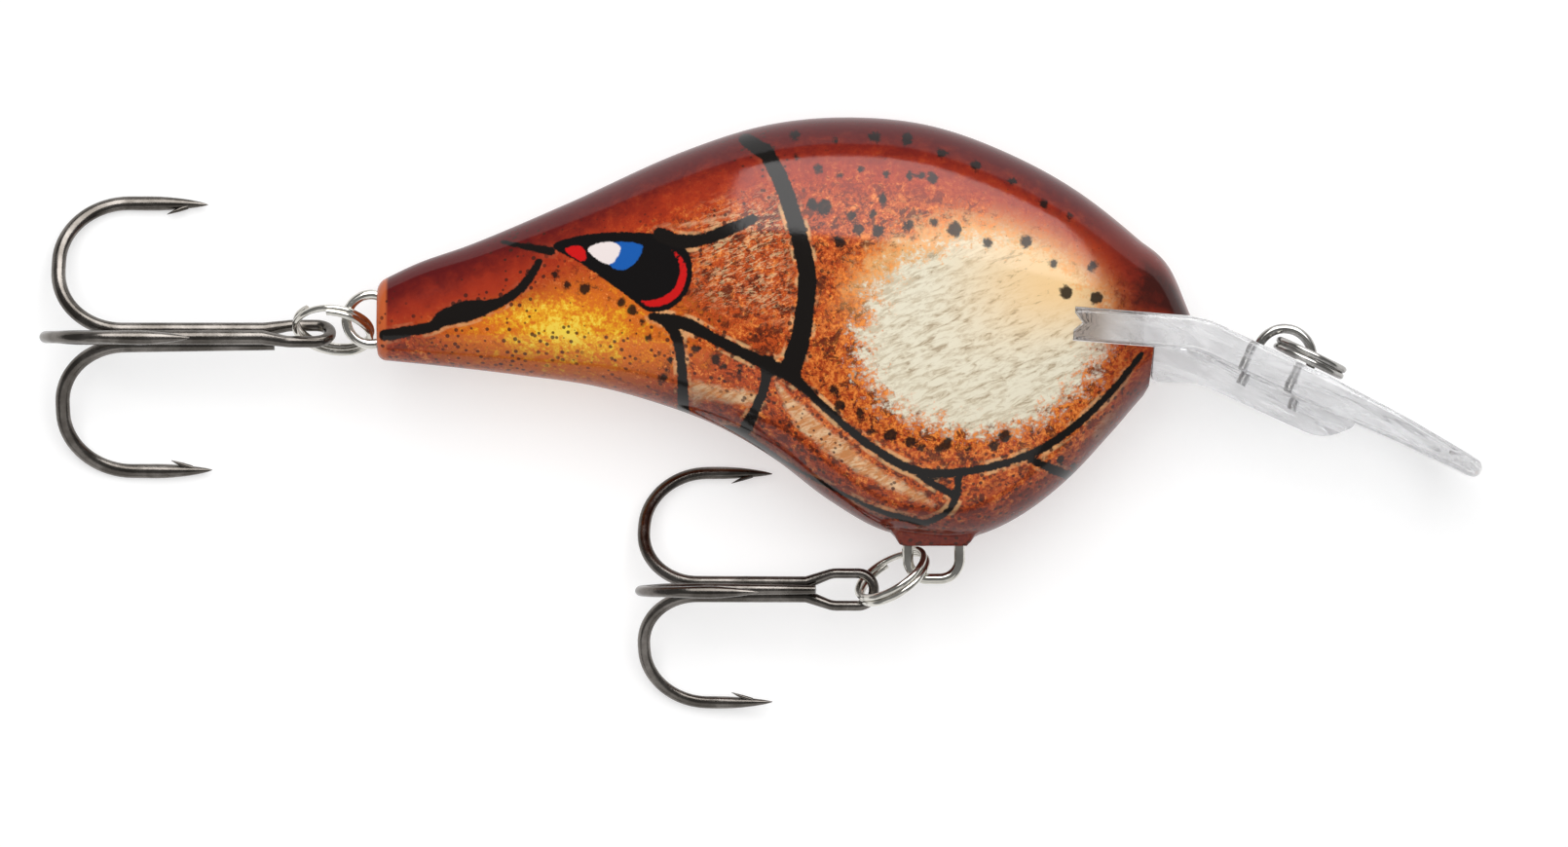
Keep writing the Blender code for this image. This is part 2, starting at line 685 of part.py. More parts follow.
def cut_pockets(halves, parent):
    """Room in the body halves for the rattle, the ballast and the wires, each with glue."""
    cutters = []
    middle = rattle_middle()
    reach = Vector((0.5 * RATTLE_LENGTH + GLUE_GAP, 0, 0))
    cutters.append(("rattle_pocket", cylinder(middle - reach, middle + reach,
                                              rattle_radius() + GLUE_GAP, "rattle_pocket",
                                              20)))
    middle = ballast_middle()
    reach = Vector((0.5 * BALLAST_LENGTH + GLUE_GAP, 0, 0))
    cutters.append(("ballast_pocket", cylinder(middle - reach, middle + reach,
                                               BALLAST_RADIUS + GLUE_GAP, "ballast_pocket",
                                               20)))
    for index, x in enumerate((HANGER_LEG_X, HANGER_LEG_X + HANGER_SPAN)):
        top = KEEL_Y + HANGER_EMBED + GLUE_GAP
        mesh = cylinder((x, KEEL_Y - 1.0, 0), (x, top, 0), 0.5 * HANGER_WIRE + GLUE_GAP,
                        f"leg_groove_{index}", 10)
        cutters.append((f"leg_groove_{index}", mesh))
    room = 0.5 * TAIL_WIRE + GLUE_GAP
    path = tail_hanger_path()
    depth = TAIL_SHANK + 0.5
    pair = TAIL_WIRE + TAIL_PAIR_GAP + GLUE_GAP
    mesh = box((1.0, TAIL_LOOP_RISE - pair, -room), (depth, TAIL_LOOP_RISE + pair, room), 0.0,
               "tail_groove")
    cutters.append(("tail_groove", mesh))
    spread = path[0].y - TAIL_LOOP_RISE + room
    mesh = box((TAIL_SHANK - 2.2, TAIL_LOOP_RISE - spread, -room),
               (depth, TAIL_LOOP_RISE + spread, room), 0.0, "tail_anchor_groove")
    cutters.append(("tail_anchor_groove", mesh))
    mouth = TAIL_LOOP_RADIUS + room
    mesh = box((-1.0, TAIL_LOOP_RISE - mouth, -room), (3.4, TAIL_LOOP_RISE + mouth, room), 0.0,
               "tail_mouth")
    cutters.append(("tail_mouth", mesh))
    for name, mesh in cutters:
        cutter = make_cutter(name, mesh, parent)
        for half in halves:
            combine(half, cutter, 'DIFFERENCE')


# ---------------------------------------------------------------- rings and hooks
def ring_frame(crossing, pull, axis, radius):
    """Frame of a ring: +X from its centre back to the crossing, +Z along its axis."""
    x = -Vector(pull).normalized()
    y = Vector(axis).cross(x).normalized()
    frame = Matrix((x, y, x.cross(y))).transposed().to_4x4()
    frame.translation = Vector(crossing) - x * radius
    return frame


def make_ring(name, radius, frame, pivot):
    """A split ring: nearly two turns of wire side by side."""
    steps = 46
    path = []
    for i in range(steps + 1):
        share = i / steps
        angle = 2 * math.pi * RING_TURNS * (share - 0.5) + math.pi / 2
        height = RING_PITCH * math.tanh(5.0 * (share - 0.5) * RING_TURNS) / 2
        path.append(Vector((radius * math.cos(angle), radius * math.sin(angle), height)))
    mesh = wire_mesh(path, 0.5 * RING_WIRE, name)
    return finish_object(name, mesh, STEEL, pivot, frame)


def hook_frame(contact, tilt, roll):
    """Frame of a treble: origin where the ring crosses its eye, -X along the shank."""
    frame = Matrix.Rotation(-tilt, 4, 'Y') @ Matrix.Rotation(roll, 4, 'X')
    frame.translation = contact
    return frame


def arm_path(sizes, direction, shank_offset, forward, inner_end):
    """One arm from its point round the bend and along the shank to inner_end (x)."""
    bend_x = eye_end(sizes) - sizes["length"] + 0.5 * sizes["wire"] + forward
    base = shank_offset
    top = base + direction * sizes["gape"]
    along = Vector((1, 0, 0))
    points = [top + along * (bend_x + sizes["reach"]), top + along * bend_x,
              base + along * bend_x, base + along * inner_end]
    bend = 0.5 * (sizes["gape"])
    return rounded_path(points, (min(sizes["bend"], bend), min(sizes["bend"], bend)), 13.0)


def eye_end(sizes):
    """Where the eye's outer end lies ahead of the ring's wire (x)."""
    return sizes["slack"] + 0.5 * RING_WIRE + EYE_FLATTENING * sizes["wire"] + 0.12


def point_scales(path, sizes, from_start=True):
    """Thin the wire to a point over the last stretch of an arm."""
    ordered = path if from_start else list(reversed(path))
    scales = []
    travelled = 0.0
    for i, point in enumerate(ordered):
        if i:
            travelled += (point - ordered[i - 1]).length
        share = min(travelled / HOOK_POINT_TAPER, 1.0)
        scales.append(HOOK_POINT_TIP + (1 - HOOK_POINT_TIP) * share ** 0.7)
    return scales if from_start else list(reversed(scales))


def with_taper_points(path):
    """Add points along an arm's first straight, so that its point can taper."""
    tip = path[0]
    run = (path[1] - tip).normalized()
    extra = [tip + run * HOOK_POINT_TAPER * share for share in (0.25, 0.55, 1.0)]
    return [tip] + extra + path[1:]


def barb(sizes, tip, direction, name):
    """A small spur cut up from the wire behind the point, leaning back inwards."""
    angle = math.radians(BARB_ANGLE)
    lean = (Vector((-1, 0, 0)) * math.cos(angle) - direction * math.sin(angle)).normalized()
    root = tip - Vector((HOOK_POINT_TAPER * 0.8, 0, 0)) - direction * 0.15 * sizes["wire"]
    shape = bmesh.new()
    bmesh.ops.create_cone(shape, cap_ends=True, segments=6, radius1=BARB_RADIUS * MM,
                          radius2=0.03 * MM, depth=BARB_LENGTH * MM)
    turn = lean.to_track_quat('Z', 'Y').to_matrix().to_4x4()
    turn.translation = (root + lean * 0.5 * BARB_LENGTH) * MM
    bmesh.ops.transform(shape, matrix=turn, verts=shape.verts)
    return mesh_from_bmesh(shape, name)


def arm_direction(degrees):
    """Unit vector across the shank; 0 degrees is local +Z."""
    angle = math.radians(degrees)
    return Vector((0, math.sin(angle), math.cos(angle)))


def make_double_hook(name, sizes, frame, pivot):
    """One wire: point, bend, shank, eye, shank, bend, point."""
    side = 0.5 * (sizes["wire"] + HOOK_SIDE_GAP)
    crotch = eye_end(sizes) - EYE_LENGTH - 1.2
    arms = []
    for sign in (1, -1):
        arm = arm_path(sizes, arm_direction(sign * 120), Vector((0, sign * side, 0)), 0.0,
                       crotch)
        arms.append(with_taper_points(arm))
    end = eye_end(sizes) - 0.5 * EYE_FLATTENING * sizes["wire"]
    corner = Vector((end, EYE_HALF_HEIGHT, 0))
    flare = Vector((crotch + 1.9, EYE_HALF_HEIGHT, 0))
    mirror = Vector((1, -1, 1))
    eye = rounded_path([arms[0][-1], flare, corner, corner * mirror, flare * mirror,
                        arms[1][-1]],
                       (2.0, 0.97 * EYE_HALF_HEIGHT, 0.97 * EYE_HALF_HEIGHT, 2.0), 22.0)
    path = arms[0] + eye[1:-1] + list(reversed(arms[1]))
    scales = point_scales(arms[0], sizes) + [EYE_FLATTENING] * (len(eye) - 2)
    scales += point_scales(list(reversed(arms[1])), sizes, from_start=False)
    mesh = wire_mesh(path, 0.5 * sizes["wire"], name, scales)
    hook = finish_object(name, mesh, HOOK_STEEL, pivot, frame)
    for sign, arm in ((1, arms[0]), (-1, arms[1])):
        spur = f"{name}_barb_{'a' if sign > 0 else 'b'}"
        mesh = barb(sizes, arm[0], arm_direction(sign * 120), spur)
        combine(hook, make_cutter(spur, mesh, pivot, frame), 'UNION')
    return hook


def make_single_hook(name, sizes, frame, pivot):
    """The third hook, whose straight shank is brazed in the groove of the other two."""
    rise = math.sqrt(3) / 2 * (sizes["wire"] + HOOK_SIDE_GAP)
    crotch = eye_end(sizes) - EYE_LENGTH - 0.4
    arm = arm_path(sizes, arm_direction(0), Vector((0, 0, rise)), sizes["forward"], crotch)
    arm = with_taper_points(arm)
    mesh = wire_mesh(arm, 0.5 * sizes["wire"], name, point_scales(arm, sizes))
    hook = finish_object(name, mesh, HOOK_STEEL, pivot, frame)
    mesh = barb(sizes, arm[0], arm_direction(0), f"{name}_barb")
    combine(hook, make_cutter(f"{name}_barb", mesh, pivot, frame), 'UNION')
    return hook


def resting_tilt(sizes, contact):
    """Tilt of a shank whose two lower arms rest on the surface below the body."""
    arm = arm_path(sizes, arm_direction(120), Vector(), 0.0, 0.0)
    floor = -0.5 * BODY_WIDTH + 0.5 * sizes["wire"]
    low, high = 0.0, math.radians(30)
    for _ in range(24):
        tilt = 0.5 * (low + high)
        frame = hook_frame(contact, tilt, 0.0)
        if min((frame @ point).z for point in arm) < floor:
            high = tilt
        else:
            low = tilt
    return low


def make_treble(side, sizes, ring, hold, roll, ring_pivot):
    """A treble hook on a ring's rear part, under its own empty."""
    around = math.radians(hold)
    contact = ring @ Vector((-RING_RADIUS * math.cos(around),
                             -RING_RADIUS * math.sin(around), 0))
    pivot = make_empty(f"{side}_treble_pivot", contact, ring_pivot)
    frame = hook_frame(contact, resting_tilt(sizes, contact), math.radians(roll))
    make_double_hook(f"{side}_double_hook", sizes, frame, pivot)
    make_single_hook(f"{side}_single_hook", sizes, frame, pivot)


def make_swinging_pieces(root):
    belly = (HANGER_LEG_X + BELLY_RING_CROSSING[0], KEEL_Y + BELLY_RING_CROSSING[1], 0.0)
    tail = (*TAIL_RING_CROSSING, 0.0)
    sets = (("belly", belly, BELLY_RING_PULL, BELLY_RING_AXIS, BELLY_RING_HOLD, BELLY_HOOK,
             BELLY_HOOK_ROLL),
            ("tail", tail, TAIL_RING_PULL, TAIL_RING_AXIS, TAIL_RING_HOLD, TAIL_HOOK,
             TAIL_HOOK_ROLL))
    for side, crossing, pull, axis, hold, hook, roll in sets:
        ring = ring_frame(crossing, pull, axis, RING_RADIUS)
        pivot = make_empty(f"{side}_ring_pivot", crossing, root)
        make_ring(f"{side}_ring", RING_RADIUS, ring, pivot)
        make_treble(side, hook, ring, hold, roll, pivot)


def make_tie_ring(root):
    """The line-tie ring lies along the lip's face, hooked through the staple."""
    tie = tie_frame()
    level = 0.5 * RING_PITCH + 0.5 * RING_WIRE + TIE_RING_LIFT
    pierce = tie @ Vector((TIE_RING_CROSSING, level, 0))
    pivot = make_empty("line_tie_ring_pivot", pierce, root)
    blade = tie.to_3x3()
    frame = Matrix((blade.col[0], -blade.col[2], blade.col[1])).transposed().to_4x4()
    frame.translation = pierce + blade @ Vector((TIE_RING_RADIUS, 0, 0))
    make_ring("line_tie_ring", TIE_RING_RADIUS, frame, pivot)


def stand_on_floor(root):
    """Move the whole lure so that it lies on z = 0 with its box centred on the origin."""
    bpy.context.view_layer.update()
    graph = bpy.context.evaluated_depsgraph_get()
    corners = []
    for item in PARTS.objects:
        if item.type == 'MESH':
            shape = item.evaluated_get(graph)
            corners += [shape.matrix_world @ vertex.co for vertex in shape.data.vertices]
    low = Vector([min(corner[axis] for corner in corners) for axis in range(3)])
    high = Vector([max(corner[axis] for corner in corners) for axis in range(3)])
    root.location = Vector((-(low.x + high.x) / 2, -(low.y + high.y) / 2, -low.z))
    bpy.context.view_layer.update()


# ---------------------------------------------------------------- build
HANGER_LEG_X = 0.6525 * BODY_LENGTH
KEEL_Y = BODY_HEIGHT * min(point[1] for point in BELLY_LINE) - KEEL_DROP

clear_scene()
PARTS = make_collection("crankbait_lure")
CUTTERS = make_collection("cutters")
WOOD = make_material("lacquered_wood", (0.55, 0.16, 0.05), 0.3)
CLEAR_PLASTIC = make_material("clear_plastic", (0.92, 0.93, 0.95), 0.05, alpha=0.35)
STEEL = make_material("nickel_wire", (0.72, 0.71, 0.67), 0.22, metallic=1.0)
HOOK_STEEL = make_material("black_nickel", (0.16, 0.14, 0.13), 0.3, metallic=1.0)
LEAD = make_material("lead", (0.3, 0.31, 0.33), 0.6, metallic=1.0)
BRASS = make_material("brass", (0.7, 0.5, 0.2), 0.35, metallic=1.0)
WHITE_PLASTIC = make_material("white_plastic", (0.85, 0.85, 0.82), 0.5)


def main():
    root = make_empty("lure_root", (0, 0, 0))
    halves = make_body(root)
    cut_lip_slot(halves, root)
    lip = make_lip(root)
    make_line_tie(lip, root)
    make_belly_hanger(root)
    make_tail_hanger(root)
    make_ballast(root)
    make_rattle(root)
    cut_pockets(halves, root)
    make_rattle_balls(root)
    make_swinging_pieces(root)
    make_tie_ring(root)
    stand_on_floor(root)


main()
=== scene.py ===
# %% [markdown]
# # A crankbait lure, finish by finish
# A crankbait is a fat wooden fish that dives when it is pulled.  Its imported model already
# holds every solid in its place, so this lesson only adds the looks: the lacquered skin, the
# clear diving lip, the drawn wires and the forged hooks.  Loading the frame first, and
# keeping its box, lets the last cell print the finished sizes beside the solid ones.

# %% Load the frame
import math

import bmesh
import bpy
import numpy as np
from mathutils import Matrix, Vector


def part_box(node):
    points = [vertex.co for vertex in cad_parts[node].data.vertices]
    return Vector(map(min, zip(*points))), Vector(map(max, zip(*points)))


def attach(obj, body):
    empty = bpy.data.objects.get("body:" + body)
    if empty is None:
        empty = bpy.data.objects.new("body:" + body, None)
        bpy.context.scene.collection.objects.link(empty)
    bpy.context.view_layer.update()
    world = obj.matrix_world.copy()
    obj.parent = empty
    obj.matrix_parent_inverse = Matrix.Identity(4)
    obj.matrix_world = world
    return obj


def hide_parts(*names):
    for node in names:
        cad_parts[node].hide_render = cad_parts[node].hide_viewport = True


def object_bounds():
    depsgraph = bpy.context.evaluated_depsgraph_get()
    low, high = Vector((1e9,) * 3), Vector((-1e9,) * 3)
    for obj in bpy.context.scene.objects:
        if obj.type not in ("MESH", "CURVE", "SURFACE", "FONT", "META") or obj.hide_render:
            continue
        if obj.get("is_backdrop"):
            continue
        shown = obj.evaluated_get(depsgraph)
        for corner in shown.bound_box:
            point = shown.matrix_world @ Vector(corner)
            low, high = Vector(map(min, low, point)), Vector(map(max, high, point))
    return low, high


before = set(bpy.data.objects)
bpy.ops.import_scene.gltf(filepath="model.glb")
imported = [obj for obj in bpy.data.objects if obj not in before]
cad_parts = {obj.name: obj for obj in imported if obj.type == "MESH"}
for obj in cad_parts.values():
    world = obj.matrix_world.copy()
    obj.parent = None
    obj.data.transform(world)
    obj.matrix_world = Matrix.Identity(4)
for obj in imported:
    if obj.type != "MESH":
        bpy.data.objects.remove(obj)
solid_box = [list(corner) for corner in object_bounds()]
print("frame box (m):", solid_box)

# %% [markdown]
# ## A ruler laid on the lure
# Lure makers measure from the tail face along the body, so every size below is in
# millimetres from the middle of the tail: x towards the nose, y towards the back and z out of
# the flank that faces up.  One helper turns those into the shared frame, in metres.

# %% The lure's own ruler
MM = 0.001
TAIL_EYE_RISE = 0.18                # the tail wire's eye sits this far above the middle line
tail_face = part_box("body_left_half")[0]
upper_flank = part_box("body_right_half")[1]
eye_low, eye_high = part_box("tail_hanger")
TAIL_MIDDLE = Vector((tail_face.x, 0.5 * (eye_low.y + eye_high.y) - TAIL_EYE_RISE * MM,
                      0.5 * (tail_face.z + upper_flank.z)))


def at(x, y, z=0.0):
    """A place on the lure (mm) in the shared frame (m)."""
    return TAIL_MIDDLE + Vector((x, y, z)) * MM


def linked(name, data):
    """A new object in the scene that shows the data."""
    item = bpy.data.objects.new(name, data)
    bpy.context.scene.collection.objects.link(item)
    return item


def mesh_from(shape, name, flip_outward=False):
    """Turn an edited shape into a mesh, with its faces outward if asked."""
    if flip_outward:
        bmesh.ops.recalc_face_normals(shape, faces=shape.faces)
    mesh = bpy.data.meshes.new(name)
    shape.to_mesh(mesh)
    shape.free()
    return mesh


def face_outward(mesh):
    """Turn every face of a finished mesh outward."""
    shape = bmesh.new()
    shape.from_mesh(mesh)
    bmesh.ops.recalc_face_normals(shape, faces=shape.faces)
    shape.to_mesh(mesh)
    shape.free()


def applied(holder, name):
    """A plain mesh of an object with its modifiers applied."""
    bpy.context.view_layer.update()
    graph = bpy.context.evaluated_depsgraph_get()
    mesh = bpy.data.meshes.new_from_object(holder.evaluated_get(graph))
    mesh.name = name
    return mesh


def mesh_piece(name, mesh, body, replaced, material=None):
    """Link a finished mesh as a piece that rides on a body and stands for CAD nodes."""
    piece = linked(name, mesh)
    if material is not None:
        mesh.materials.clear()
        mesh.materials.append(material)
    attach(piece, body)
    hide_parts(*replaced)
    print(name, "has", len(mesh.polygons), "faces")


print("tail middle (mm):", [round(1000 * value, 2) for value in TAIL_MIDDLE])

# %% [markdown]
# ## Camera, floor and light
# A long lens from almost straight above keeps the flank free of perspective.  Lacquer shows
# what it mirrors, so two softboxes, one towards the back and a weaker one towards the belly,
# are kept for reflections alone, and the middle of the flank mirrors only a dim room.  The
# shading comes from one soft light near the camera; the backlit paper glows faintly.

# %% Camera
VIEW_LEAN = math.radians(0.5)       # the camera leans towards the lure's back
VIEW_DISTANCE = 0.9
VIEW_WIDTH = 0.1157                 # what the frame takes in, at the lure
SENSOR_WIDTH = 36.0
ALONG_LURE = Vector((1.0, 0.0, 0.0))
aim = at(30.0, -7.5)                # middle of what is seen, hooks included


def hang(holder, lean, distance, shift=0.0):
    """Hang an object over the aim, leaning towards +Y (radians), and point it at the aim."""
    away = Vector((0.0, math.sin(lean), math.cos(lean)))
    axes = Matrix((ALONG_LURE, away.cross(ALONG_LURE), away))
    holder.location = aim + away * distance + ALONG_LURE * shift
    holder.rotation_mode = 'QUATERNION'
    holder.rotation_quaternion = axes.transposed().to_quaternion()


camera = linked("camera", bpy.data.cameras.new("camera"))
hang(camera, VIEW_LEAN, VIEW_DISTANCE)
camera.data.sensor_width = SENSOR_WIDTH
camera.data.lens = SENSOR_WIDTH * VIEW_DISTANCE / VIEW_WIDTH
camera.data.clip_start = 0.01
camera.data.clip_end = 20.0
bpy.context.scene.camera = camera
bpy.context.scene.view_settings.view_transform = 'Standard'
print("lens:", round(camera.data.lens), "mm")

# %% Floor, room and softboxes
PAPER_WHITE = (0.58, 0.58, 0.58)
PAPER_GLOW = 0.5
ROOM_LIGHT = 0.22
FLOOR_REACH = 2.0


def feed(tree, value, socket):
    """Wire an output to a socket, or set the socket's own value."""
    if isinstance(value, bpy.types.NodeSocket):
        tree.links.new(value, socket)
    elif isinstance(value, (tuple, list)) and len(value) == 3 and socket.type == 'RGBA':
        socket.default_value = (*value, 1.0)
    else:
        socket.default_value = value


def node_material(name):
    """A new node material: its tree, and the Principled shader in it."""
    material = bpy.data.materials.new(name)
    material.use_nodes = True
    return material, material.node_tree, material.node_tree.nodes["Principled BSDF"]


def set_shader(tree, shader, values):
    """Feed each named input of a shader with a number, a colour or an output."""
    for name, value in values.items():
        feed(tree, value, shader.inputs[name])


def softbox(name, lean, distance, width, depth, power, mirrored, shift=0.0):
    """A rectangular light over the lure, leaning towards +Y (degrees).

    A mirrored one is only seen in reflections and through the lip; the others only shade.
    """
    light = bpy.data.lights.new(name, 'AREA')
    light.shape = 'RECTANGLE'
    light.size = width
    light.size_y = depth
    light.energy = power
    holder = linked(name, light)
    hang(holder, math.radians(lean), distance, shift)
    holder.visible_camera = False
    holder.visible_glossy = mirrored
    holder.visible_diffuse = not mirrored


floor_mesh = bpy.data.meshes.new("floor")
corners = [(x * FLOOR_REACH, y * FLOOR_REACH, 0) for x, y in ((-1, -1), (1, -1), (1, 1), (-1, 1))]
floor_mesh.from_pydata(corners, [], [(0, 1, 2, 3)])
floor = linked("floor", floor_mesh)
paper, paper_tree, paper_shader = node_material("white_paper")
set_shader(paper_tree, paper_shader, {
    "Base Color": PAPER_WHITE, "Roughness": 0.9, "Specular IOR Level": 0.1,
    "Emission Color": (1.0, 1.0, 1.0), "Emission Strength": PAPER_GLOW})
floor_mesh.materials.append(paper)
floor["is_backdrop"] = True
world = bpy.data.worlds.new("room")
world.use_nodes = True
set_shader(world.node_tree, world.node_tree.nodes["Background"],
           {"Color": (1.0, 1.0, 1.0), "Strength": ROOM_LIGHT})
bpy.context.scene.world = world
softbox("softbox_back", lean=49.0, distance=0.6, width=0.66, depth=0.57, power=5.6,
        mirrored=True, shift=0.12)
softbox("softbox_belly", lean=-60.0, distance=0.6, width=0.9, depth=0.5, power=1.0,
        mirrored=True)
softbox("key_light", lean=16.0, distance=0.8, width=0.75, depth=0.75, power=6.7,
        mirrored=False)

# %% [markdown]
# ## Short words for shader nodes
# A paint job is many thin layers, each one a mask and a colour.  These few helpers keep the
# material cells readable: each adds one node, wires its inputs and returns its output.

# %% Node helpers
def maths(tree, operation, *values, clamp=False):
    node = tree.nodes.new('ShaderNodeMath')
    node.operation = operation
    node.use_clamp = clamp
    for slot, value in enumerate(values):
        feed(tree, value, node.inputs[slot])
    return node.outputs[0]


def layer(tree, share, under, over):
    """One coat of colour over another, where share says."""
    node = tree.nodes.new('ShaderNodeMix')
    node.data_type = 'RGBA'
    feed(tree, share, node.inputs["Factor"])
    feed(tree, under, node.inputs[6])
    feed(tree, over, node.inputs[7])
    return node.outputs[2]


def step(tree, value, start, end, low=0.0, high=1.0):
    """Smooth step of value from start to end."""
    node = tree.nodes.new('ShaderNodeMapRange')
    node.interpolation_type = 'SMOOTHSTEP'
    for slot, number in ((0, value), (1, start), (2, end), (3, low), (4, high)):
        feed(tree, number, node.inputs[slot])
    return node.outputs[0]


def place(tree, scale=(1.0, 1.0, 1.0), turn=(0.0, 0.0, 0.0)):
    """Object coordinates in a turned frame, squeezed along its axes by scale."""
    source = tree.nodes.new('ShaderNodeTexCoord')
    mapping = tree.nodes.new('ShaderNodeMapping')
    mapping.vector_type = 'TEXTURE'
    mapping.inputs["Scale"].default_value = [1.0 / axis for axis in scale]
    mapping.inputs["Rotation"].default_value = turn
    tree.links.new(source.outputs["Object"], mapping.inputs["Vector"])
    return mapping.outputs[0]


def noise(tree, where, scale, detail=3.0, roughness=0.55, distortion=0.0):
    node = tree.nodes.new('ShaderNodeTexNoise')
    feed(tree, where, node.inputs["Vector"])
    node.inputs["Scale"].default_value = scale
    node.inputs["Detail"].default_value = detail
    node.inputs["Roughness"].default_value = roughness
    node.inputs["Distortion"].default_value = distortion
    return node.outputs["Fac"]


def specks(tree, where, scale):
    """Distance to the nearest point of a scatter of cells."""
    node = tree.nodes.new('ShaderNodeTexVoronoi')
    feed(tree, where, node.inputs["Vector"])
    node.inputs["Scale"].default_value = scale
    return node.outputs["Distance"]


def mask(tree, name):
    """A float that the mesh carries at each of its points."""
    node = tree.nodes.new('ShaderNodeAttribute')
    node.attribute_name = name
    return node.outputs["Fac"]


def bump(tree, height, strength, distance):
    node = tree.nodes.new('ShaderNodeBump')
    node.inputs["Strength"].default_value = strength
    node.inputs["Distance"].default_value = distance
    feed(tree, height, node.inputs["Height"])
    return node.outputs[0]


print("node helpers ready")

# %% [markdown]
# ## The body's shape
# The body is turned and carved from light wood in two halves, glued and sanded until no
# joint shows, then sealed.  Three lines give it all: the back, the belly and the half width.
# A loft through rounded cross-sections follows them exactly, and a fine, even grid also
# gives the paint masks somewhere to live.

# %% Lines of the body
BODY_LENGTH = 60.0
BODY_HEIGHT = 31.0
BODY_WIDTH = 17.6
TAIL_ROUNDING = 0.6
SECTION_FULLNESS = 2.25
BACK_LINE = ((0.0, 0.094), (0.05, 0.140), (0.113, 0.183), (0.235, 0.283), (0.375, 0.405),
             (0.48, 0.469), (0.58, 0.487), (0.68, 0.467), (0.775, 0.402), (0.86, 0.312),
             (0.935, 0.198), (0.975, 0.125), (1.0, 0.013))
BELLY_LINE = ((0.0, -0.090), (0.083, -0.106), (0.175, -0.127), (0.267, -0.153),
              (0.342, -0.192), (0.415, -0.245), (0.485, -0.322), (0.555, -0.424),
              (0.62, -0.495), (0.68, -0.515), (0.73, -0.512), (0.79, -0.462),
              (0.85, -0.372), (0.905, -0.258), (0.95, -0.160), (1.0, -0.090))
HALF_WIDTH_LINE = ((0.0, 0.335), (0.1, 0.42), (0.25, 0.60), (0.4, 0.83), (0.52, 0.955),
                   (0.64, 1.0), (0.75, 0.965), (0.85, 0.85), (0.93, 0.68), (0.97, 0.54),
                   (1.0, 0.36))


def along_line(line, where):
    """Height of a smooth curve through a line's points, at one or many places."""
    xs = np.array([point[0] for point in line])
    ys = np.array([point[1] for point in line])
    where = np.clip(np.asarray(where, float), xs[0], xs[-1])
    index = np.clip(np.searchsorted(xs, where, side='right') - 1, 0, len(xs) - 2)
    chords = np.diff(ys) / np.diff(xs)
    slopes = np.concatenate([[chords[0]], 0.5 * (chords[:-1] + chords[1:]), [chords[-1]]])
    width = xs[index + 1] - xs[index]
    t = (where - xs[index]) / width
    level = (2 * t ** 3 - 3 * t ** 2 + 1) * ys[index] + (3 * t ** 2 - 2 * t ** 3) * ys[index + 1]
    lift = (t ** 3 - 2 * t ** 2 + t) * slopes[index] + (t ** 3 - t ** 2) * slopes[index + 1]
    return level + width * lift


def back_height(x):
    return BODY_HEIGHT * along_line(BACK_LINE, np.asarray(x) / BODY_LENGTH)


def belly_height(x):
    return BODY_HEIGHT * along_line(BELLY_LINE, np.asarray(x) / BODY_LENGTH)


def half_width(x):
    return 0.5 * BODY_WIDTH * along_line(HALF_WIDTH_LINE, np.asarray(x) / BODY_LENGTH)


print("deepest section:", round(float(back_height(41) - belly_height(41)), 1), "mm")

# %% [markdown]
# ## Carving the blank
# The blank is lofted ring by ring, with the tail face rounded over.  A small pad under the
# belly, where the hook wire leaves the wood, is pushed out of the same surface, as a maker
# builds it up with sealer.  The lip's slot and the step behind its chin are sawn with exact
# Booleans afterwards, because a saw leaves crisp corners.

# %% Loft the blank
SKIN_STATIONS = 230
SKIN_SIDES = 300
KEEL_MIDDLE = 41.05
KEEL_LENGTH = 4.7
KEEL_WIDTH = 3.4
KEEL_LEVEL = -16.515
KEEL_ROOT = -8.0                    # the pad is drawn down from below this level
KEEL_FADE_ALONG = 0.35              # shares of its half length and half width it fades over
KEEL_FADE_ACROSS = 0.45
END_CROWDING = 0.05                 # how much closer the sections stand at both ends


def skin_blank():
    """The uncut body as arrays of points (mm) and quads."""
    inset = TAIL_ROUNDING * (1 - np.sin(np.linspace(0, math.pi / 2, 7)))
    setback = TAIL_ROUNDING * (1 - np.cos(np.linspace(0, math.pi / 2, 7)))
    share = np.linspace(0, 1, SKIN_STATIONS)[1:]
    eased = share - END_CROWDING * np.sin(2 * math.pi * share)
    xs = np.concatenate([setback, TAIL_ROUNDING + (BODY_LENGTH - TAIL_ROUNDING) * eased])
    insets = np.concatenate([inset, np.zeros(len(share))])
    angle = 2 * math.pi * np.arange(SKIN_SIDES) / SKIN_SIDES
    power = 2 / SECTION_FULLNESS
    across = np.sign(np.cos(angle)) * np.abs(np.cos(angle)) ** power
    upward = np.sign(np.sin(angle)) * np.abs(np.sin(angle)) ** power
    top = back_height(xs) - insets
    bottom = belly_height(xs) + insets
    reach = half_width(xs) - insets
    points = np.zeros((len(xs), SKIN_SIDES, 3))
    points[:, :, 0] = xs[:, None]
    points[:, :, 1] = (0.5 * (top + bottom))[:, None] + 0.5 * (top - bottom)[:, None] * upward
    points[:, :, 2] = reach[:, None] * across
    along = np.abs(points[:, :, 0] - KEEL_MIDDLE) / (0.5 * KEEL_LENGTH)
    beside = np.abs(points[:, :, 2]) / (0.5 * KEEL_WIDTH)
    share = np.minimum(np.clip((1 - along) / KEEL_FADE_ALONG + 1, 0, 1),
                       np.clip((1 - beside) / KEEL_FADE_ACROSS + 1, 0, 1))
    share = share * share * (3 - 2 * share)
    low = (points[:, :, 1] < KEEL_ROOT) & (points[:, :, 1] > KEEL_LEVEL)
    points[:, :, 1] -= np.where(low, share * (points[:, :, 1] - KEEL_LEVEL), 0)
    return points


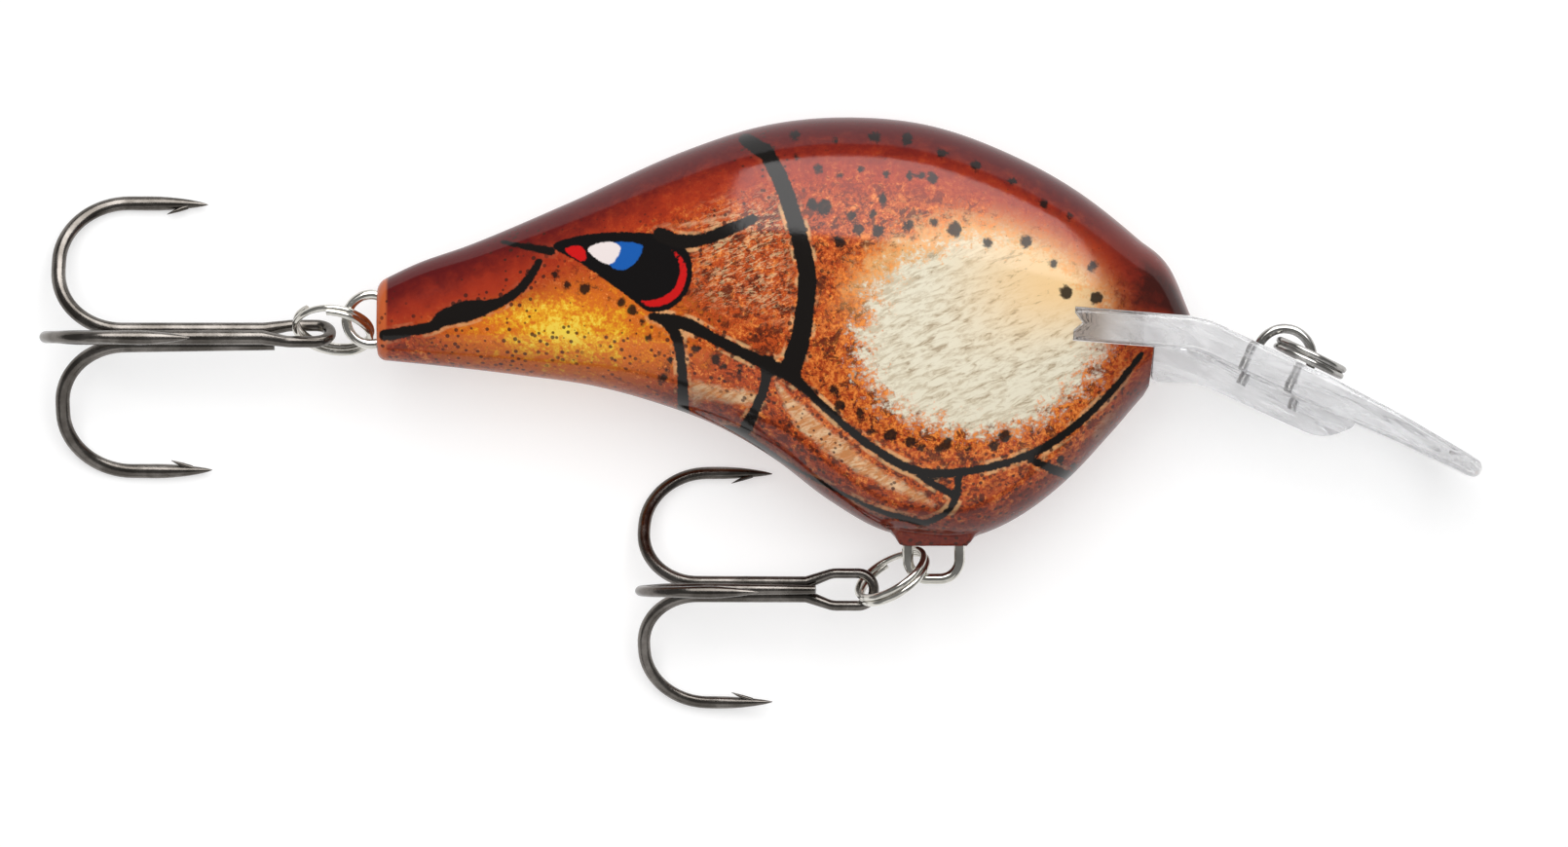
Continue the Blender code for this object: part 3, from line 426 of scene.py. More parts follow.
def grid_mesh(points, name):
    """A closed mesh (m) through rings of points (mm); each end ring gets a cap."""
    rings, sides = points.shape[:2]
    first = np.arange(rings * sides).reshape(rings, sides)
    a, b = first[:-1], first[1:]
    quads = np.stack([a, np.roll(a, -1, 1), np.roll(b, -1, 1), b], axis=-1).reshape(-1, 4)
    faces = quads.tolist() + [first[0].tolist(), first[-1].tolist()]
    mesh = bpy.data.meshes.new(name)
    places = np.array(TAIL_MIDDLE) + points.reshape(-1, 3) * MM
    mesh.from_pydata(places.tolist(), [], faces)
    face_outward(mesh)
    return mesh


blank = grid_mesh(skin_blank(), "body_skin")
print("blank has", len(blank.polygons), "faces")

# %% [markdown]
# ## Saw cuts
# Cutting tools are plain outlines pushed through the lure.  The slot runs a little nose-down
# and ends in a V, which keeps the lip centred while the glue sets; the nose below the slot
# is cut back for the lip's chin block.

# %% Cut the lip slot and the chin step
LIP_THICKNESS = 2.4
LIP_SLOT_ANGLE = math.radians(-4.5)
TANG_END = Vector((51.329, -0.120, 0.0))     # middle of the tang's inner end
SLOT_PLAY = 0.06                             # room for glue above and below the tang
V_LEVEL = 0.1                                # height of the V's point
V_RISE, V_FALL = 1.2, 0.95                   # slopes of its upper and lower side
THROUGH = 12                                 # half depth of a cut that goes right through


def prism(outline, half_depth, name):
    """A solid (mm places) with a flat outline that reaches half_depth to both sides."""
    shape = bmesh.new()
    far = [shape.verts.new(at(x, y, -half_depth)) for x, y in outline]
    near = [shape.verts.new(at(x, y, half_depth)) for x, y in outline]
    count = len(outline)
    shape.faces.new(far)
    shape.faces.new(near)
    for i in range(count):
        shape.faces.new((far[i], far[(i + 1) % count], near[(i + 1) % count], near[i]))
    return mesh_from(shape, name, flip_outward=True)


def from_tang(points):
    """Points drawn from the tang's end, turned to the slot's slope."""
    turn = Matrix.Rotation(LIP_SLOT_ANGLE, 3, 'Z')
    return [(TANG_END + turn @ Vector((x, y, 0.0))).xy for x, y in points]


def v_notch(point, mouth):
    """A V that opens towards the tail, from its upper to its lower corner."""
    reach = point - mouth
    return [(mouth, V_LEVEL + V_RISE * reach), (point, V_LEVEL), (mouth, V_LEVEL - V_FALL * reach)]


def apply_booleans(mesh, cuts, name):
    """Apply (operation, tool mesh) pairs one after the other and return a plain mesh."""
    holder = linked(name, mesh)
    tools = [linked(f"{name}_tool", tool_mesh) for _, tool_mesh in cuts]
    for (operation, _), tool in zip(cuts, tools):
        modifier = holder.modifiers.new(operation.lower(), 'BOOLEAN')
        modifier.operation = operation
        modifier.solver = 'EXACT'
        modifier.object = tool
    result = applied(holder, name)
    for item in [holder] + tools:
        bpy.data.objects.remove(item, do_unlink=True)
    return result


slot_half = 0.5 * LIP_THICKNESS + SLOT_PLAY
slot_outline = from_tang([(-0.1, slot_half)] + v_notch(0.5, -0.1)
                         + [(-0.1, -slot_half), (16, -slot_half), (16, slot_half)])
chin_outline = [(57.3, 0.2), (56.85, -4.7), (56.4, -5.6), (56.4, -20), (66, -20), (66, 0.2)]
skin_mesh = apply_booleans(blank, [('DIFFERENCE', prism(slot_outline, THROUGH, "slot")),
                                   ('DIFFERENCE', prism(chin_outline, THROUGH, "chin_step"))],
                           "body_skin")
print("carved body has", len(skin_mesh.polygons), "faces")

# %% [markdown]
# ## Paint masks
# The crayfish livery is sprayed through stencils from the side, so a mask depends only on
# where a point lies along and up the flank.  Each stencil edge is kept as a distance in
# millimetres, negative inside; the shader can then soften, roughen or widen any edge.
# Strokes are drawn as a few points with a half width, the way a painter pulls a brush.

# %% Brush strokes and stencils
INK_STROKES = (
    ((28.6, 12.6, 0.55), (29.7, 10.5, 0.6), (30.6, 8.0, 0.62), (31.3, 5.5, 0.64),
     (31.7, 3.2, 0.66), (31.5, 0.9, 0.7), (31.2, -1.2, 0.74), (30.5, -3.4, 0.8)),
    ((20.4, 0.4, 0.35), (22.9, -0.2, 0.5), (25.4, -1.5, 0.42), (28.3, -2.9, 0.45),
     (30.4, -3.9, 0.5), (32.4, -5.7, 0.30), (34.7, -7.8, 0.30), (37.1, -9.6, 0.32),
     (39.4, -10.8, 0.34), (41.7, -11.1, 0.34), (45.2, -10.6, 0.28), (48.7, -9.4, 0.32),
     (51.5, -7.5, 0.28), (54.1, -5.0, 0.25), (56.2, -2.4, 0.22)),
    ((20.8, 0.3, 0.3), (22.0, -0.8, 0.42), (22.5, -3.2, 0.36), (22.6, -6.6, 0.45)),
    ((28.8, -3.0, 0.6), (28.6, -4.6, 0.36), (28.0, -6.2, 0.36), (27.2, -7.8, 0.5)),
    ((25.6, -7.6, 0.12), (26.9, -8.2, 0.22), (30.0, -10.3, 0.16), (33.5, -12.2, 0.14),
     (37.1, -13.9, 0.2), (40.3, -14.8, 0.26)),
    ((42.8, -11.1, 0.28), (42.6, -12.9, 0.28), (41.8, -14.1, 0.24), (40.3, -14.8, 0.24)),
    ((39.5, -10.9, 0.22), (40.8, -11.8, 0.26), (42.4, -12.7, 0.28)),
    ((47.6, -9.8, 0.22), (49.2, -10.6, 0.32), (51.4, -11.5, 0.34)),
    ((0.6, -1.0, 0.42), (3.9, -0.4, 0.4), (5.0, 0.3, 0.62), (6.7, 0.8, 0.78), (8.2, 1.1, 0.5),
     (10.0, 1.9, 0.34), (11.3, 3.2, 0.32), (12.0, 4.4, 0.28)),
    ((9.2, 5.9, 0.14), (11.2, 5.5, 0.24), (12.9, 5.2, 0.34)),
    ((20.9, 6.4, 0.5), (22.4, 5.9, 0.52), (24.0, 6.0, 0.46), (25.6, 6.6, 0.44),
     (27.6, 7.5, 0.4)),
    ((27.2, 13.4, 0.5), (28.4, 12.6, 0.6)),
)
SPOT_ROWS = (                       # places along a row, how many, their scatter and radius
    (((12.9, 3.1), (15.3, 2.4), (17.6, 1.4), (20.2, -0.3), (21.4, -2.6), (20.8, -4.7)),
     13, 0.28, 0.29),
    (((23.4, -1.9), (25.3, -2.6), (27.0, -3.5)), 4, 0.25, 0.31),
    (((30.3, 12.0), (34.2, 11.2), (38.9, 10.7), (41.2, 10.3)), 8, 0.24, 0.38),
    (((31.0, 9.3), (34.5, 8.1), (38.1, 9.1)), 5, 0.30, 0.42),
    (((32.9, 6.4), (36.2, 6.4), (40.0, 7.3), (43.8, 6.6), (48.7, 4.9), (52.6, 4.2)),
     10, 0.28, 0.44),
    (((49.7, 2.4), (53.8, 1.5)), 2, 0.15, 0.44),
    (((29.9, 13.5), (35.9, 13.8), (41.4, 12.4), (47.5, 10.1), (51.5, 7.1)), 9, 0.22, 0.38),
    (((32.2, -4.8), (35.4, -6.9), (38.6, -8.7), (42.4, -9.3), (46.9, -8.7)), 14, 0.36, 0.38),
    (((50.0, -9.9), (51.4, -10.6)), 2, 0.10, 0.35),
)
EYE_OUTLINE = ((13.0, 5.5), (14.4, 6.2), (17.5, 6.6), (21.4, 6.3), (22.9, 5.2), (23.3, 3.9),
               (23.1, 2.6), (22.4, 1.5), (21.4, 0.85), (20.1, 0.75), (18.9, 1.6), (17.4, 2.7),
               (15.1, 4.3))
EYE_CRESCENT = ((21.9, 5.2, 0.10), (22.5, 4.4, 0.20), (22.6, 3.4, 0.26), (22.2, 2.3, 0.30),
                (21.3, 1.6, 0.30), (20.3, 1.35, 0.24), (19.6, 1.5, 0.10))
EYE_CORNER = ((13.9, 5.3), (15.0, 5.6), (15.5, 4.9), (15.2, 4.4))
EYE_WHITE = ((15.6, 5.3), (16.3, 5.75), (17.4, 5.85), (18.0, 5.5), (17.8, 4.8), (17.2, 4.2),
             (16.3, 4.6))
EYE_BLUE = ((17.2, 5.7), (18.5, 5.85), (19.6, 5.6), (19.4, 4.8), (18.7, 4.0), (17.8, 3.8),
            (17.1, 4.4))
PLATES = (((23.1, -4.0), (25.4, -4.4), (28.1, -5.0), (27.4, -6.6), (25.0, -6.0), (23.1, -6.4)),
          ((28.9, -3.9), (30.6, -5.0), (34.0, -8.0), (38.6, -11.4), (41.4, -13.1), (40.6, -13.8),
           (36.9, -12.2), (33.0, -9.8), (30.2, -7.2)),
          ((28.6, -4.1), (28.9, -4.2), (28.0, -7.2), (27.7, -7.2)),
          ((52.2, -8.0), (55.3, -5.4), (53.6, -9.0)),
          ((20.8, 6.9), (23.0, 6.7), (25.2, 7.2), (27.2, 8.0), (26.9, 8.4), (24.6, 7.9),
           (21.4, 7.4)))


def flowing(points, closed=False, parts=5):
    """More points along a smooth curve through the given ones."""
    places = [np.array(p, float) for p in points]
    count = len(places)
    result = []
    for i in range(count if closed else count - 1):
        a, b = places[i], places[(i + 1) % count]
        before = places[i - 1] if closed or i > 0 else a
        after = places[(i + 2) % count] if closed or i + 2 < count else b
        for t in np.arange(parts) / parts:
            slope_in, slope_out = 0.5 * (b - before), 0.5 * (after - a)
            result.append(a * (1 - 3 * t ** 2 + 2 * t ** 3) + b * (3 * t ** 2 - 2 * t ** 3)
                          + slope_in * (t - 2 * t ** 2 + t ** 3) + slope_out * (t ** 3 - t ** 2))
    return result if closed else result + [places[-1]]


def scatter_spots():
    """Spots (x, y, radius) spaced along their rows, each a little off."""
    hand = np.random.default_rng(11)
    spots = []
    for row, count, scatter, radius in SPOT_ROWS:
        line = np.array(flowing(row))
        for share in (np.arange(count) + 0.5) / count:
            index = share * (len(line) - 1)
            place_mm = [np.interp(index, np.arange(len(line)), line[:, k]) for k in (0, 1)]
            x, y = np.array(place_mm) + hand.normal(0, scatter, 2)
            spots.append((x, y, radius * hand.uniform(0.72, 1.2)))
    return spots


def stroke_distance(points, stroke):
    """Distance (mm) from points to a stroke's edge; negative on the stroke."""
    nearest = np.full(len(points), 99.0)
    for start, end in zip(stroke, stroke[1:]):
        a, b = start[:2], end[:2]
        run = b - a
        share = np.clip(((points - a) @ run) / (run @ run), 0, 1)
        gap = np.linalg.norm(points - a - share[:, None] * run, axis=1)
        nearest = np.minimum(nearest, gap - (start[2] + (end[2] - start[2]) * share))
    return nearest


def outline_distance(points, outline):
    """Distance (mm) from points to a closed outline; negative inside."""
    ring = [np.array((*point, 0.0)) for point in flowing(outline, closed=True)]
    ring.append(ring[0])
    gap = stroke_distance(points, ring)
    inside = np.zeros(len(points), bool)
    for (ax, ay), (bx, by) in zip([p[:2] for p in ring], [p[:2] for p in ring[1:]]):
        crosses = (ay > points[:, 1]) != (by > points[:, 1])
        reach = ax + (points[:, 1] - ay) * (bx - ax) / (by - ay if by != ay else 1.0)
        inside ^= crosses & (points[:, 0] < reach)
    return np.where(inside, -gap, gap)


def oval_distance(points, centre, radii, turn):
    """Distance in shares of an oval's radius, 0 at its edge and -1 at its middle."""
    c, s = math.cos(math.radians(turn)), math.sin(math.radians(turn))
    x, y = points[:, 0] - centre[0], points[:, 1] - centre[1]
    return np.hypot((c * x + s * y) / radii[0], (c * y - s * x) / radii[1]) - 1.0


SPOTS = scatter_spots()
print(len(INK_STROKES), "strokes and", len(SPOTS), "spots")

# %% Lay the masks on the skin
SHELL_MIDDLE, SHELL_RADII, SHELL_TURN = (44.4, -0.9), (9.4, 7.5), 8.0
CHEEK_MIDDLE, CHEEK_RADII, CHEEK_TURN = (13.6, -0.6), (7.2, 3.0), -6.0
FARTHEST = 9.0                      # distances (mm) beyond this are all the same to a coat


def paint_masks(mesh):
    """Store every stencil as a float at each point of the mesh."""
    places = np.zeros(len(mesh.vertices) * 3)
    mesh.vertices.foreach_get("co", places)
    places = (places.reshape(-1, 3) - np.array(TAIL_MIDDLE)) / MM
    x, y = places.T[:2]
    flat = places[:, :2]
    top, bottom = back_height(x), belly_height(x)
    height = (y - bottom) / np.maximum(top - bottom, 0.1)
    masks = {
        "ink": np.minimum.reduce([stroke_distance(flat, flowing(s)) for s in INK_STROKES]),
        "spot": np.minimum.reduce([np.hypot(x - sx, 0.9 * (y - sy)) - r
                                   for sx, sy, r in SPOTS]),
        "shell": oval_distance(flat, SHELL_MIDDLE, SHELL_RADII, SHELL_TURN),
        "cheek": oval_distance(flat, CHEEK_MIDDLE, CHEEK_RADII, CHEEK_TURN),
        "eye": outline_distance(flat, EYE_OUTLINE),
        "eye_white": outline_distance(flat, EYE_WHITE),
        "eye_blue": outline_distance(flat, EYE_BLUE),
        "eye_red": np.minimum(stroke_distance(flat, flowing(EYE_CRESCENT)),
                              outline_distance(flat, EYE_CORNER)),
        "height": height,
        "top_gap": top - y,
        "bottom_gap": y - bottom,
        "along": x / BODY_LENGTH,
    }
    masks["plate"] = np.minimum.reduce([outline_distance(flat, p) for p in PLATES])
    for name, values in masks.items():
        stored = mesh.attributes.new(name, 'FLOAT', 'POINT')
        values = np.clip(values, -FARTHEST, FARTHEST).astype(np.float32)
        stored.data.foreach_set("value", values)
    return sorted(masks)


print("masks:", paint_masks(skin_mesh))

# %% [markdown]
# ## The lacquered livery
# From the wood outwards: a stippled orange ground, a yellow cheek, a bone-coloured shell
# patch, tan plates, airbrushed reds, overspray, the eye, the ink and a clear lacquer.  Each
# coat is a function that takes the colour so far and returns it with its own layer on top.
# All coats share a few noises, so that their edges wander together as on one sponged body.

# %% Shared textures of the paint
BRUSH_SLOPE = math.radians(22)      # drawn-out strokes rise towards the nose
BRUSH_STRETCH = (1.0, 3.4, 1.0)     # and are this much finer across than along


def times(tree, *shares):
    """The product of several shares."""
    product = shares[0]
    for share in shares[1:]:
        product = maths(tree, 'MULTIPLY', product, share)
    return product


def rough_mask(tree, paint, name, coarse=0.0, fine=0.0):
    """A mask whose edge wanders by up to about half of coarse plus fine (mm)."""
    edge = mask(tree, name)
    for wobble, amount in (("wobble", coarse), ("fine_wobble", fine)):
        if amount:
            edge = maths(tree, 'ADD', edge, maths(tree, 'MULTIPLY', paint[wobble], amount))
    return edge


def paint_textures(tree):
    """The noises and masks that several coats share, by name."""
    here = place(tree)
    brushed = place(tree, BRUSH_STRETCH, (0, 0, BRUSH_SLOPE))
    grain = noise(tree, here, 3400, 5, 0.72)
    sponge = noise(tree, here, 900, 5, 0.65, 0.4)
    paint = {"here": here, "brushed": brushed, "grain": grain, "sponge": sponge,
             "cloud": noise(tree, here, 190, 4, 0.6),
             "streak": noise(tree, brushed, 780, 5, 0.7, 0.5),
             "wobble": maths(tree, 'SUBTRACT', sponge, 0.5),
             "fine_wobble": maths(tree, 'SUBTRACT', grain, 0.5),
             "height": mask(tree, "height"), "along": mask(tree, "along")}
    paint["shell"] = rough_mask(tree, paint, "shell", 0.7, 0.75)
    return paint


print("strokes slope", round(math.degrees(BRUSH_SLOPE)), "degrees")

# %% [markdown]
# ## The ground
# A sponge leaves dark, middle and light dabs at once, so one noise is cut at three levels.
# Round the shell the ground is warmer, with clumps of brown, and behind the eye a brush has
# dragged the wet paint into a paler gill.

# %% Ground coat
UNDERCOAT = (0.075, 0.014, 0.007)
GROUND_DABS = (                     # where the stipple starts and is full, and its colour
    (0.39, 0.51, (0.50, 0.070, 0.012)),
    (0.53, 0.61, (0.82, 0.24, 0.045)),
    (0.63, 0.70, (0.88, 0.40, 0.12)))
WARM_RED, WARM_ORANGE = (0.42, 0.050, 0.009), (0.90, 0.29, 0.050)
CLUMP_BROWN, CLUMP_ORANGE = (0.075, 0.013, 0.006), (0.88, 0.30, 0.06)
SHELL_GLOW = (0.90, 0.50, 0.19)
GILL_TAN = (0.76, 0.50, 0.26)


def ground_coat(tree, paint, colour):
    grain, height, along = paint["grain"], paint["height"], paint["along"]
    stipple = maths(tree, 'ADD', maths(tree, 'MULTIPLY', grain, 0.62),
                    maths(tree, 'MULTIPLY', paint["sponge"], 0.38))
    for start, full, dab in GROUND_DABS:
        colour = layer(tree, step(tree, stipple, start, full), colour, dab)
    warm = times(tree, step(tree, paint["shell"], 0.75, 0.0), 0.75)
    colour = layer(tree, warm, colour,
                   layer(tree, step(tree, grain, 0.42, 0.60), WARM_RED, WARM_ORANGE))
    clumps = noise(tree, paint["here"], 1100, 5, 0.75, 0.6)
    colour = layer(tree, step(tree, clumps, 0.52, 0.58, 0.0, 0.82), colour, CLUMP_BROWN)
    colour = layer(tree, step(tree, clumps, 0.43, 0.37, 0.0, 0.40), colour, CLUMP_ORANGE)
    glow = times(tree, step(tree, paint["shell"], 0.30, 0.02), step(tree, height, 0.42, 0.68),
                 0.75)
    colour = layer(tree, glow, colour, SHELL_GLOW)
    dragged = noise(tree, paint["brushed"], 1300, 5, 0.75, 0.8)
    gill = times(tree, step(tree, along, 0.37, 0.43), step(tree, along, 0.53, 0.48),
                 step(tree, height, 0.36, 0.50), step(tree, height, 0.86, 0.70),
                 step(tree, dragged, 0.49, 0.60), 0.75)
    return layer(tree, gill, colour, GILL_TAN)


print(len(GROUND_DABS), "stippled dabs on the ground")

# %% [markdown]
# ## Cheek, shell and plates
# The cheek is dabbed from orange to yellow towards its middle.  The shell patch is bone,
# warmer towards the nose and scratched with thin brown strokes, and the plates between the
# ink lines are tan, with a thin pale edge where the stencil let a little light ground stand.

# %% Cheek, shell and plates
CHEEK_DABS = (                      # mask start, mask full, cover and colour
    (0.75, -0.25, 1.0, (0.70, 0.165, 0.013)),
    (-0.10, -0.85, 1.0, (0.88, 0.47, 0.020)),
    (-0.62, -1.0, 0.7, (0.95, 0.74, 0.10)))
BONE_SHADE, BONE, WARM_BONE = (0.62, 0.53, 0.38), (0.82, 0.76, 0.60), (0.88, 0.60, 0.30)
SCRATCH_BROWN = (0.26, 0.17, 0.10)
PLATE_SHADE, PLATE_TAN = (0.66, 0.27, 0.085), (0.90, 0.62, 0.36)
HALO_TAN = (0.84, 0.52, 0.24)


def cheek_coat(tree, paint, colour):
    cheek = rough_mask(tree, paint, "cheek", 2.2, 2.6)
    for start, full, cover, dab in CHEEK_DABS:
        colour = layer(tree, step(tree, cheek, start, full, 0.0, cover), colour, dab)
    return colour


def shell_coat(tree, paint, colour):
    bone = layer(tree, step(tree, paint["streak"], 0.38, 0.58), BONE_SHADE, BONE)
    warm = times(tree, step(tree, paint["along"], 0.66, 0.84),
                 step(tree, paint["height"], 0.40, 0.66))
    bone = layer(tree, warm, bone, WARM_BONE)
    scratch = times(tree, step(tree, paint["streak"], 0.42, 0.36),
                    step(tree, paint["cloud"], 0.42, 0.54), 0.45)
    bone = layer(tree, scratch, bone, SCRATCH_BROWN)
    return layer(tree, step(tree, paint["shell"], 0.05, -0.17), colour, bone)


def plate_coat(tree, paint, colour):
    plate = rough_mask(tree, paint, "plate", 1.3)
    tan = layer(tree, step(tree, paint["streak"], 0.40, 0.60), PLATE_SHADE, PLATE_TAN)
    colour = layer(tree, step(tree, plate, -0.12, -0.65, 0.0, 0.85), colour, tan)
    patchy = step(tree, noise(tree, paint["here"], 520, 3, 0.6), 0.46, 0.60)
    halo = times(tree, step(tree, mask(tree, "ink"), 0.34, 0.16), patchy, 0.6)
    return layer(tree, halo, colour, HALO_TAN)


print(len(CHEEK_DABS), "dabs on the cheek,", len(PLATES), "plates")

# %% [markdown]
# ## Airbrushed reds and overspray
# An airbrush held along an edge gives a long fade, so these masks are wide: the tail, the
# back in two passes, the nose, a dark smear over the lip and the belly, whose dark red is
# partly paint and partly painted shade.  A painted highlight lightens the very tail.
# Fine dark flecks fall afterwards, thicker near the lines and the belly.

# %% Airbrushed reds and overspray
TAIL_RED, NOSE_RED, NOSE_SMEAR = (0.27, 0.020, 0.008), (0.19, 0.016, 0.008), (0.020, 0.006, 0.005)
BACK_RED, BACK_MAROON = (0.42, 0.034, 0.010), (0.105, 0.006, 0.007)
# the first pair is a dark red belly that is partly painted shade; the second colour is a painted
# highlight on the tail end
BELLY_MAROON_AND_SHADE, TAIL_END_HIGHLIGHT = (0.13, 0.015, 0.010), (0.60, 0.13, 0.035)
FLECK_BROWN = (0.05, 0.014, 0.009)
BACK_PASSES = ((7.0, 3.0, 0.88, BACK_RED), (4.6, 0.8, 1.0, BACK_MAROON))
FLECK_SPACING = 1700


# airbrushed reds, together with painted shade along the belly and a painted highlight on the tail end
def airbrush_and_painted_light_coat(tree, paint, colour):
    height, along = paint["height"], paint["along"]
    rear = times(tree, step(tree, height, 0.40, 0.60), step(tree, along, 0.28, 0.14), 0.85)
    colour = layer(tree, rear, colour, TAIL_RED)
    back_gap = rough_mask(tree, paint, "top_gap", 3.0)
    for start, full, cover, red in BACK_PASSES:
        colour = layer(tree, step(tree, back_gap, start, full, 0.0, cover), colour, red)
    nose = times(tree, step(tree, along, 0.84, 0.95), step(tree, height, 0.30, 0.62, 0.62, 0.9))
    colour = layer(tree, nose, colour, NOSE_RED)
    smear = times(tree, step(tree, rough_mask(tree, paint, "along", 0.12), 0.895, 0.965),
                  step(tree, height, 0.50, 0.62), step(tree, height, 0.96, 0.80), 0.85)
    colour = layer(tree, smear, colour, NOSE_SMEAR)
    # dark red towards the belly: partly paint, partly painted shade where the underside turns away
    # from the light
    belly = times(tree, step(tree, rough_mask(tree, paint, "bottom_gap", 2.4), 3.4, 0.5),
                  step(tree, along, 0.26, 0.50, 0.35, 0.88))
    colour = layer(tree, belly, colour, BELLY_MAROON_AND_SHADE)
    # painted highlight: a lighter orange on the rounded tail end, where light catches it
    return layer(tree, step(tree, along, 0.015, 0.010, 0.0, 0.85), colour, TAIL_END_HIGHLIGHT)


def overspray_coat(tree, paint, colour):
    near = maths(tree, 'MAXIMUM', step(tree, mask(tree, "ink"), 2.2, 0.0),
                 step(tree, mask(tree, "bottom_gap"), 6.0, 3.0, 0.0, 0.9))
    size = maths(tree, 'ADD', 0.08, maths(tree, 'MULTIPLY', near, 0.20))
    cells = specks(tree, paint["here"], FLECK_SPACING)
    flecks = times(tree, step(tree, maths(tree, 'SUBTRACT', cells, size), 0.05, -0.03),
                   step(tree, paint["cloud"], 0.34, 0.50),
                   step(tree, paint["shell"], -0.1, 0.1), 0.85)
    return layer(tree, flecks, colour, FLECK_BROWN)


print(len(BACK_PASSES), "passes of red along the back")

# %% [markdown]
# ## Eye, ink and lacquer
# The eye is laid in from its dark oval outwards, then lines and spots go over everything in
# one black ink.  The lacquer is the Principled coat, with its own faint ripple; the paint
# under it is left quite matt, so that only the lacquer shines.

# %% Eye, ink and lacquer
EYE_PARTS = (("eye", (0.005, 0.004, 0.004)), ("eye_red", (0.60, 0.008, 0.008)),
             ("eye_blue", (0.010, 0.105, 0.42)), ("eye_white", (0.86, 0.76, 0.74)))
INK_BLACK = (0.008, 0.006, 0.005)


def eye_coat(tree, paint, colour):
    for name, tint in EYE_PARTS:
        edge = rough_mask(tree, paint, name, 0.0, 0.30)
        colour = layer(tree, step(tree, edge, 0.06, -0.06), colour, tint)
    return colour


def ink_coat(tree, paint, colour):
    lines = step(tree, rough_mask(tree, paint, "ink", 0.30, 0.30), 0.07, -0.07)
    spots = step(tree, rough_mask(tree, paint, "spot", 0.9, 0.5), 0.10, -0.12, 0.0, 0.94)
    return layer(tree, maths(tree, 'MAXIMUM', lines, spots), colour, INK_BLACK)


livery, livery_tree, livery_shader = node_material("crayfish_livery")
textures = paint_textures(livery_tree)
painted = UNDERCOAT
for coat in (ground_coat, cheek_coat, shell_coat, plate_coat, airbrush_and_painted_light_coat, overspray_coat,
             eye_coat, ink_coat):
    painted = coat(livery_tree, textures, painted)
paint_grain = noise(livery_tree, textures["here"], 1500, 3, 0.6)
lacquer_ripple = noise(livery_tree, textures["here"], 2600, 3, 0.6)
set_shader(livery_tree, livery_shader, {
    "Base Color": painted, "Roughness": 0.6, "Specular IOR Level": 0.0,
    "Normal": bump(livery_tree, paint_grain, 0.10, 0.00012),
    "Coat Weight": 0.6, "Coat Roughness": 0.10, "Coat IOR": 1.47,
    "Coat Normal": bump(livery_tree, lacquer_ripple, 0.05, 0.0001)})
skin_mesh.shade_smooth()
skin_mesh.set_sharp_from_angle(angle=math.radians(35))
mesh_piece("body_skin", skin_mesh, "lure", ("body_left_half", "body_right_half"),
           livery)

# %% [markdown]
# ## The diving lip
# The lip is one clear moulding: a tang that fills the slot, a spoon-shaped blade, and a chin
# block that carries the line tie.  Its blade is lofted along its own bend so that thickness
# and width can change smoothly, then the chin is joined on and the tang notched.  Clear
# plastic only looks right as a closed solid with a true refractive index.

# %% Loft the lip
LIP_TIP_THICKNESS = 1.3
LIP_BLADE_HALF_WIDTH = 8.6
LIP_NECK_HALF_WIDTH = 5.6
LIP_REACH = 21.4
LIP_TOP_AT_NOSE = 0.35
LIP_TIP_ROUNDING = 0.9
LIP_BLADE_ANGLE = math.radians(-25.6)
LIP_TIP_ANGLE = math.radians(-27.5)


def rounded_path(points, radii, step_angle=4.0):
    """Points (mm) with each inner corner turned into an arc."""
    points = [Vector(point) for point in points]
    path = [points[0]]
    for i in range(1, len(points) - 1):
        before = (points[i - 1] - points[i]).normalized()
        after = (points[i + 1] - points[i]).normalized()
        turn = math.pi - before.angle(after)
        radius = radii[i - 1]
        if radius <= 0 or turn < 1e-3:
            path.append(points[i])
            continue
        length = radius * math.tan(turn / 2)
        centre = points[i] + (before + after).normalized() * (radius / math.cos(turn / 2))
        first = points[i] + before * length - centre
        last = points[i] + after * length - centre
        count = max(2, math.ceil(math.degrees(turn) / step_angle))
        for k in range(count + 1):
            path.append(centre + first.slerp(last, k / count).normalized() * radius)
    path.append(points[-1])
    return [p for i, p in enumerate(path) if i == 0 or (p - path[i - 1]).length > 0.02]


def evenly(path, count):
    """The same path with evenly spaced points."""
    lengths = np.concatenate([[0], np.cumsum([(b - a).length for a, b in zip(path, path[1:])])])
    places = np.array([list(p) for p in path])
    targets = np.linspace(0, lengths[-1], count)
    return [Vector([np.interp(t, lengths, places[:, k]) for k in range(3)]) for t in targets]


def lip_middle_line():
    bend = Vector((BODY_LENGTH + 0.6, LIP_TOP_AT_NOSE - 0.5 * LIP_THICKNESS, 0))
    turn = bend + Vector((1.0, math.tan(LIP_BLADE_ANGLE), 0)) * (0.66 * LIP_REACH)
    end = turn + Vector((1.0, math.tan(LIP_TIP_ANGLE), 0)) * (0.34 * LIP_REACH - 0.6)
    return rounded_path((TANG_END, bend, turn, end), (7.0, 16.0), 1.5)


def lip_half_width(x):
    if x < BODY_LENGTH - 0.6:
        return max(float(half_width(x)) - 0.25, LIP_NECK_HALF_WIDTH)
    beyond = (x - BODY_LENGTH) / LIP_REACH
    if beyond < 0.62:
        ease = 0.5 - 0.5 * math.cos(math.pi * max(beyond - 0.06, 0.0) / 0.56)
        return LIP_NECK_HALF_WIDTH + (LIP_BLADE_HALF_WIDTH - LIP_NECK_HALF_WIDTH) * ease
    rest = min((beyond - 0.62) / 0.38, 0.9985)
    return LIP_BLADE_HALF_WIDTH * (1 - rest ** 2.6) ** 0.5


def lip_ring(point, along, half, thickness):
    """A rounded bar's outline across the lip."""
    up = Vector((-along.y, along.x, 0.0))
    r = min(0.38, 0.42 * thickness, 0.42 * half)
    ring = []
    for side, level in ((1, 1), (-1, 1), (-1, -1), (1, -1)):
        turns = range(0, 91, 15) if side * level > 0 else range(90, -1, -15)
        for turn in turns:
            angle = math.radians(turn)
            z = side * (half - r) + side * r * math.cos(angle)
            ring.append(point + up * level * (0.5 * thickness - r + r * math.sin(angle))
                        + Vector((0, 0, z)))
    return ring


